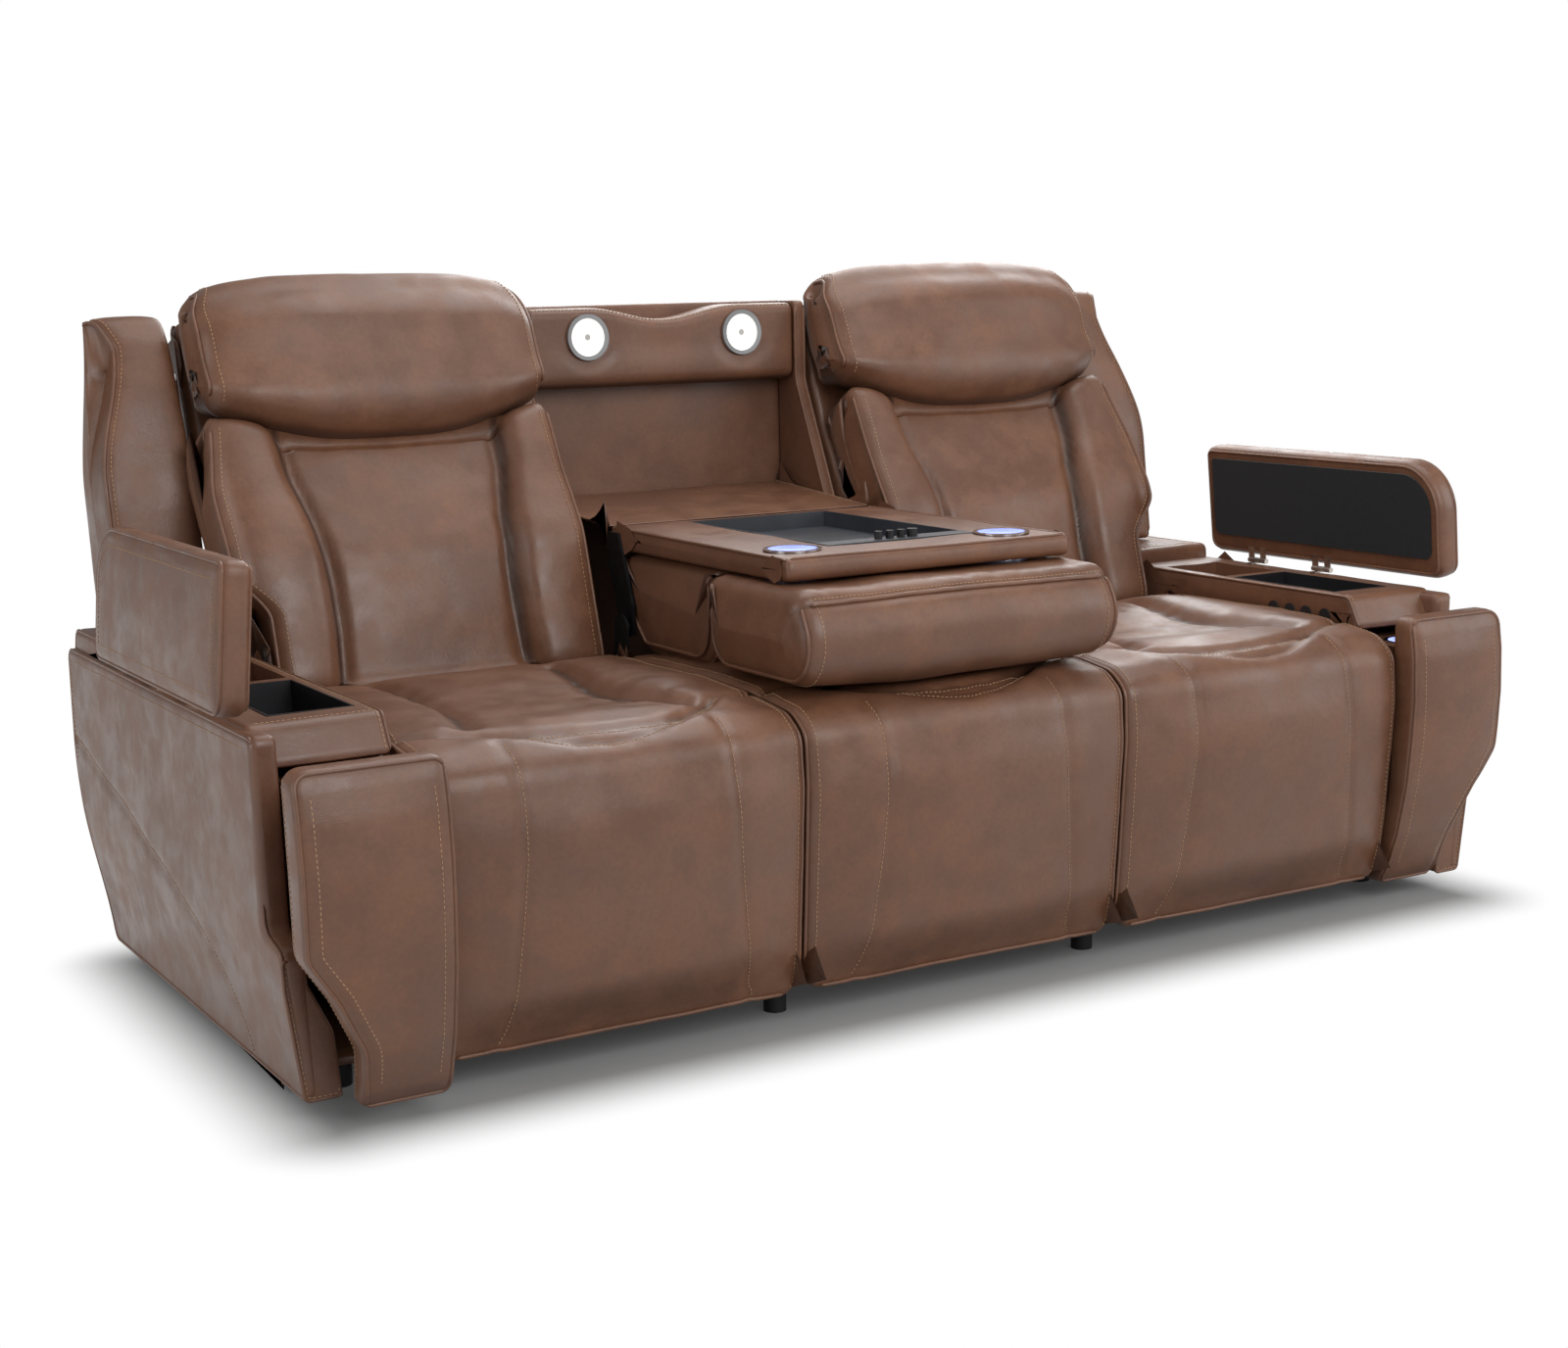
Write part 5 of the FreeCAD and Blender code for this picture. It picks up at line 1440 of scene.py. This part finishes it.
# %% Hard finishes
def moulded(name, colour, roughness, grain=900.0):
    """Plastic with a fine moulded grain and slight colour drift."""
    finish = Finish(name, Specular_IOR_Level=0.4)
    place = finish.place()
    drift = finish.noise(place, 9.0, 3.0)
    tone = tuple(min(1.0, c * 1.35 + 0.004) for c in colour)
    finish.set("Base Color", finish.mix(finish.within(drift, 0.35, 0.7), colour, tone))
    finish.set("Roughness", roughness + 0.10 * finish.noise(place, 60.0))
    finish.bump(finish.noise(place, grain, 2.0), 0.18, 0.0006)
    return finish.material


def metal(name, colour, roughness, scale=40.0, brushed=(1.0, 1.0, 1.0)):
    """Metal with a brushed or cast surface and a few duller patches."""
    finish = Finish(name, Metallic=1.0)
    place = finish.add("ShaderNodeMapping", {}, {"Vector": finish.place(), "Scale": brushed})
    patches = finish.noise(place, scale, 4.0)
    tone = tuple(c * 0.72 for c in colour)
    finish.set("Base Color", finish.mix(finish.within(patches, 0.35, 0.7), colour, tone))
    finish.set("Roughness", roughness + 0.16 * patches)
    finish.bump(patches, 0.10, 0.0005)
    return finish.material


def felt(name, colour):
    """Short black felt: a matt, fuzzy, slightly blotched surface."""
    finish = Finish(name, Roughness=0.95, Specular_IOR_Level=0.15, Sheen_Weight=0.25)
    place = finish.place()
    fibres = finish.noise(place, 620.0, 4.0, 0.7)
    tone = tuple(c * 2.4 for c in colour)
    finish.set("Base Color", finish.mix(finish.within(fibres, 0.35, 0.75), colour, tone))
    finish.bump(fibres, 0.5, 0.0012)
    return finish.material


def glowing_cup(name, rim, glow):
    """Chrome cup whose inner wall is lit below its rim."""
    finish = Finish(name, Metallic=1.0, Emission_Strength=1.0)
    place = finish.place()
    height = finish.add("ShaderNodeSeparateXYZ", {}, {0: place}, output=2)
    dark_rim = finish.within(height, rim - 0.006, rim - 0.002)
    lit = finish.within(height, rim - 0.045, rim - 0.012) * (1.0 - dark_rim)
    fine = finish.noise(place, 80.0)
    finish.set("Base Color", finish.mix(fine * 0.3, (0.78, 0.79, 0.82), (0.55, 0.56, 0.60)))
    finish.set("Roughness", 0.12 + 0.10 * fine)
    finish.set("Emission Color", finish.mix(lit, (0.0, 0.0, 0.0), glow))
    return finish.material


def lamp_glass():
    """Bright disc with a small dark centre."""
    finish = Finish("lamp_glass", Roughness=0.2, Emission_Strength=1.0)
    place = finish.place()
    across = finish.add("ShaderNodeSeparateXYZ", {}, {0: place}, output=0)
    up = finish.add("ShaderNodeSeparateXYZ", {}, {0: place}, output=2)
    away = finish.add("ShaderNodeMath", {"operation": "ABSOLUTE"}, {0: across}) - 0.156
    rise = up - 0.990
    squared = away * away + rise * rise
    radius = finish.add("ShaderNodeMath", {"operation": "SQRT"}, {0: squared})
    disc = finish.within(radius, 0.0045, 0.0075) * (1.0 - 0.35 * finish.within(radius, 0.020, 0.033))
    finish.set("Base Color", finish.mix(disc, (0.30, 0.29, 0.28), (0.9, 0.9, 0.88)))
    finish.set("Emission Color", finish.mix(disc, (0.22, 0.21, 0.20), (1.0, 0.99, 0.95)))
    return finish.material


black_plastic = moulded("black_plastic", (0.012, 0.012, 0.014), 0.36)
tray_plastic = moulded("tray_plastic", (0.030, 0.033, 0.040), 0.42)
ring_grey = moulded("ring_grey", (0.24, 0.245, 0.25), 0.35, 500.0)
foot_plastic = moulded("foot_plastic", (0.010, 0.010, 0.011), 0.5)
black_steel = metal("black_steel", (0.030, 0.030, 0.033), 0.42)
zinc = metal("zinc_runner", (0.52, 0.53, 0.54), 0.30, 30.0, (1.0, 8.0, 1.0))
nickel = metal("brushed_nickel", (0.70, 0.66, 0.60), 0.20, 60.0, (1.0, 6.0, 1.0))
black_felt = felt("black_felt", (0.006, 0.006, 0.007))
table_cup = glowing_cup("table_cup_chrome", 0.687, (0.32, 0.38, 0.85))
drawer_cup = glowing_cup("drawer_cup_chrome", 0.450, (0.32, 0.38, 0.85))
lens_glass = lamp_glass()

HARD = {
    "base_rails": black_steel, "glides": foot_plastic, "mechanism_plates": black_steel,
    "drive_motors": black_steel, "drawer_runners": zinc, "lid_hinge_plates": nickel,
    "table_brackets": black_steel, "console_bins": black_plastic, "table_tray": tray_plastic,
    "table_cups": table_cup, "light_bezels": ring_grey, "light_lenses": lens_glass,
}
for side, _ in SIDES:
    HARD.update({f"{side}_drive_links": black_steel, f"{side}_lid_leaves": nickel,
                 f"{side}_lid_liner": black_felt, f"{side}_drawer_cup": drawer_cup,
                 f"{side}_drawer_box": hide})
    HARD.update({f"{side}_arm_button_{n}": black_plastic for n in range(1, 5)})
HARD.update({f"table_button_{n}": black_plastic for n in range(1, 5)})
for name, material in HARD.items():
    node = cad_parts[name]
    node.data.materials.clear()
    node.data.materials.append(material)
print(len(HARD), "hard nodes finished")

# %% [markdown]
# Replacing a node also hides its small steel parts, so they are made again: the two bars on the
# back of each footrest and the two brackets that carry each reclining back on its pins.

# %% Steel brackets
def steel(name, body, outlines, mirror):
    """Flat plates from side outlines (y, z) and x spans, as one object."""
    points, faces = [], []
    for outline, low, high in outlines:
        ring = closed(outline, 3.0)
        start, count = len(points), len(ring)
        way = -1 if mirror else 1
        for x in sorted((way * low, way * high)):
            points += [(x * MM, y * MM, z * MM) for y, z in ring]
        ends = list(range(start, start + count)), list(range(start + count, start + 2 * count))
        faces += [tuple(ends[0]), tuple(reversed(ends[1]))]
        faces += [(start + k, start + count + k, start + count + (k + 1) % count, start + (k + 1) % count)
                  for k in range(count)]
    made = mesh_object(name, points, faces)
    made.data.materials.append(black_steel)
    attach(made, body)


LINK_XS = ((342.0, 346.0), (830.0, 834.0))
foot_bars = [([(-402, 104, 1), (-396, 104, 1), (-396, 323, 1), (-402, 323, 1)], *span) for span in LINK_XS]
foot_ears = [([(-396, 217, 1), (-368, 201, 8), (-368, 173, 8), (-396, 157, 1)], *span) for span in LINK_XS]
back_bars = [([(214, 404, 14), (214, 436, 14), (316, 446, 2), (316, 410, 2)], *span) for span in LINK_XS]
for side, mirror in SIDES:
    steel(f"{side}_footrest_bars", f"{side}_foot", foot_bars + foot_ears, mirror)
    steel(f"{side}_back_brackets", f"{side}_back", back_bars, mirror)
print("brackets made")

# %% [markdown]
# The studio: a white floor and large area lights. The floor is plain diffuse and dark grey for the lights,
# and what the camera sees of it is lifted to white away from the sofa, which a mix on Is Camera Ray does
# without more light on the leather. Near the sofa it stays dark grey, a painted contact shadow, and the
# lamps' own shadow falls on it too.

# %% Studio
def studio_floor():
    """Large floor, white to the camera away from the sofa and dark grey near it: a painted contact shadow, on
    which the lamps' shadow also falls.
    """
    reach = 14.0
    corners = [(-reach, -reach, 0), (reach, -reach, 0), (reach, reach, 0), (-reach, reach, 0)]
    floor = mesh_object("floor", corners, [(0, 1, 2, 3)])
    finish = Finish("floor_white_with_painted_shadow", Base_Color=(0.30, 0.30, 0.30), Roughness=0.9, Specular_IOR_Level=0.0)
    place = finish.place()
    split = {axis: finish.add("ShaderNodeSeparateXYZ", {}, {0: place}, output=axis) for axis in (0, 1)}
    size = lambda value: finish.add("ShaderNodeMath", {"operation": "ABSOLUTE"}, {0: value})
    over = lambda value: finish.add("ShaderNodeMath", {"operation": "MAXIMUM"}, {0: value, 1: 0.0})
    # Painted contact shadow: within 0.17 m of the sofa's footprint the camera sees the dark grey diffuse
    # floor, not white.
    x, y = over(size(split[0]) - 1.03), over(size(split[1] + 0.01) - 0.47)
    away = finish.add("ShaderNodeMath", {"operation": "SQRT"}, {0: x * x + y * y})
    white = finish.add("ShaderNodeEmission", {}, {"Color": (1, 1, 1, 1), "Strength": 1.0})
    seen = finish.add("ShaderNodeLightPath", output=0) + finish.add("ShaderNodeLightPath", output=3)
    factor = finish.within(away, -0.02, 0.17) * finish.within(seen, 0.0, 1.0)
    mixed = finish.add("ShaderNodeMixShader", {}, {0: factor, 2: white})
    finish.tree.links.new(finish.surface.outputs[0], mixed.socket.node.inputs[1])
    finish.tree.links.new(mixed.socket, finish.tree.nodes["Material Output"].inputs["Surface"])
    floor.data.materials.append(finish.material)


def area_light(name, place, target, size, power, colour=(1, 1, 1)):
    """Square soft light aimed at a point."""
    light = bpy.data.lights.new(name, "AREA")
    light.shape, light.size, light.energy, light.color = "SQUARE", size, power, colour
    made = bpy.data.objects.new(name, light)
    scene.collection.objects.link(made)
    aim = np.array(place, float) - np.array(target, float)
    aim /= np.linalg.norm(aim)
    side = np.cross((0.0, 0.0, 1.0), aim)
    side = side / np.linalg.norm(side) if np.linalg.norm(side) > 1e-6 else np.array((1.0, 0.0, 0.0))
    made.matrix_world = np.transpose(matrix_from(side, np.cross(aim, side), aim, place)).tolist()


def studio_world():
    """Even light from all round, white to the camera."""
    world = bpy.data.worlds.new("studio")
    world.use_nodes = True
    scene.world = world
    tree = world.node_tree
    even = tree.nodes["Background"]
    even.inputs["Color"].default_value = (1, 1, 1, 1)
    even.inputs["Strength"].default_value = 0.34
    white = tree.nodes.new("ShaderNodeBackground")
    white.inputs["Color"].default_value = (1, 1, 1, 1)
    path = tree.nodes.new("ShaderNodeLightPath")
    mixer = tree.nodes.new("ShaderNodeMixShader")
    tree.links.new(path.outputs["Is Camera Ray"], mixer.inputs[0])
    tree.links.new(even.outputs[0], mixer.inputs[1])
    tree.links.new(white.outputs[0], mixer.inputs[2])
    tree.links.new(mixer.outputs[0], tree.nodes["World Output"].inputs["Surface"])


studio_floor()
studio_world()
area_light("key", (-0.2, -3.9, 2.6), (0, 0, 0.5), 2.2, 84)
area_light("left", (-4.2, -0.6, 1.6), (0, 0, 0.5), 2.2, 40)
area_light("fill", (3.4, -2.6, 2.0), (0, 0, 0.5), 2.4, 50)
area_light("top", (0.4, 0.2, 3.2), (0, 0, 0.4), 2.4, 42)
area_light("rear", (2.2, 2.8, 2.6), (0, 0, 0.7), 2.6, 90)
scene.view_settings.view_transform = "Standard"
print("studio lit")
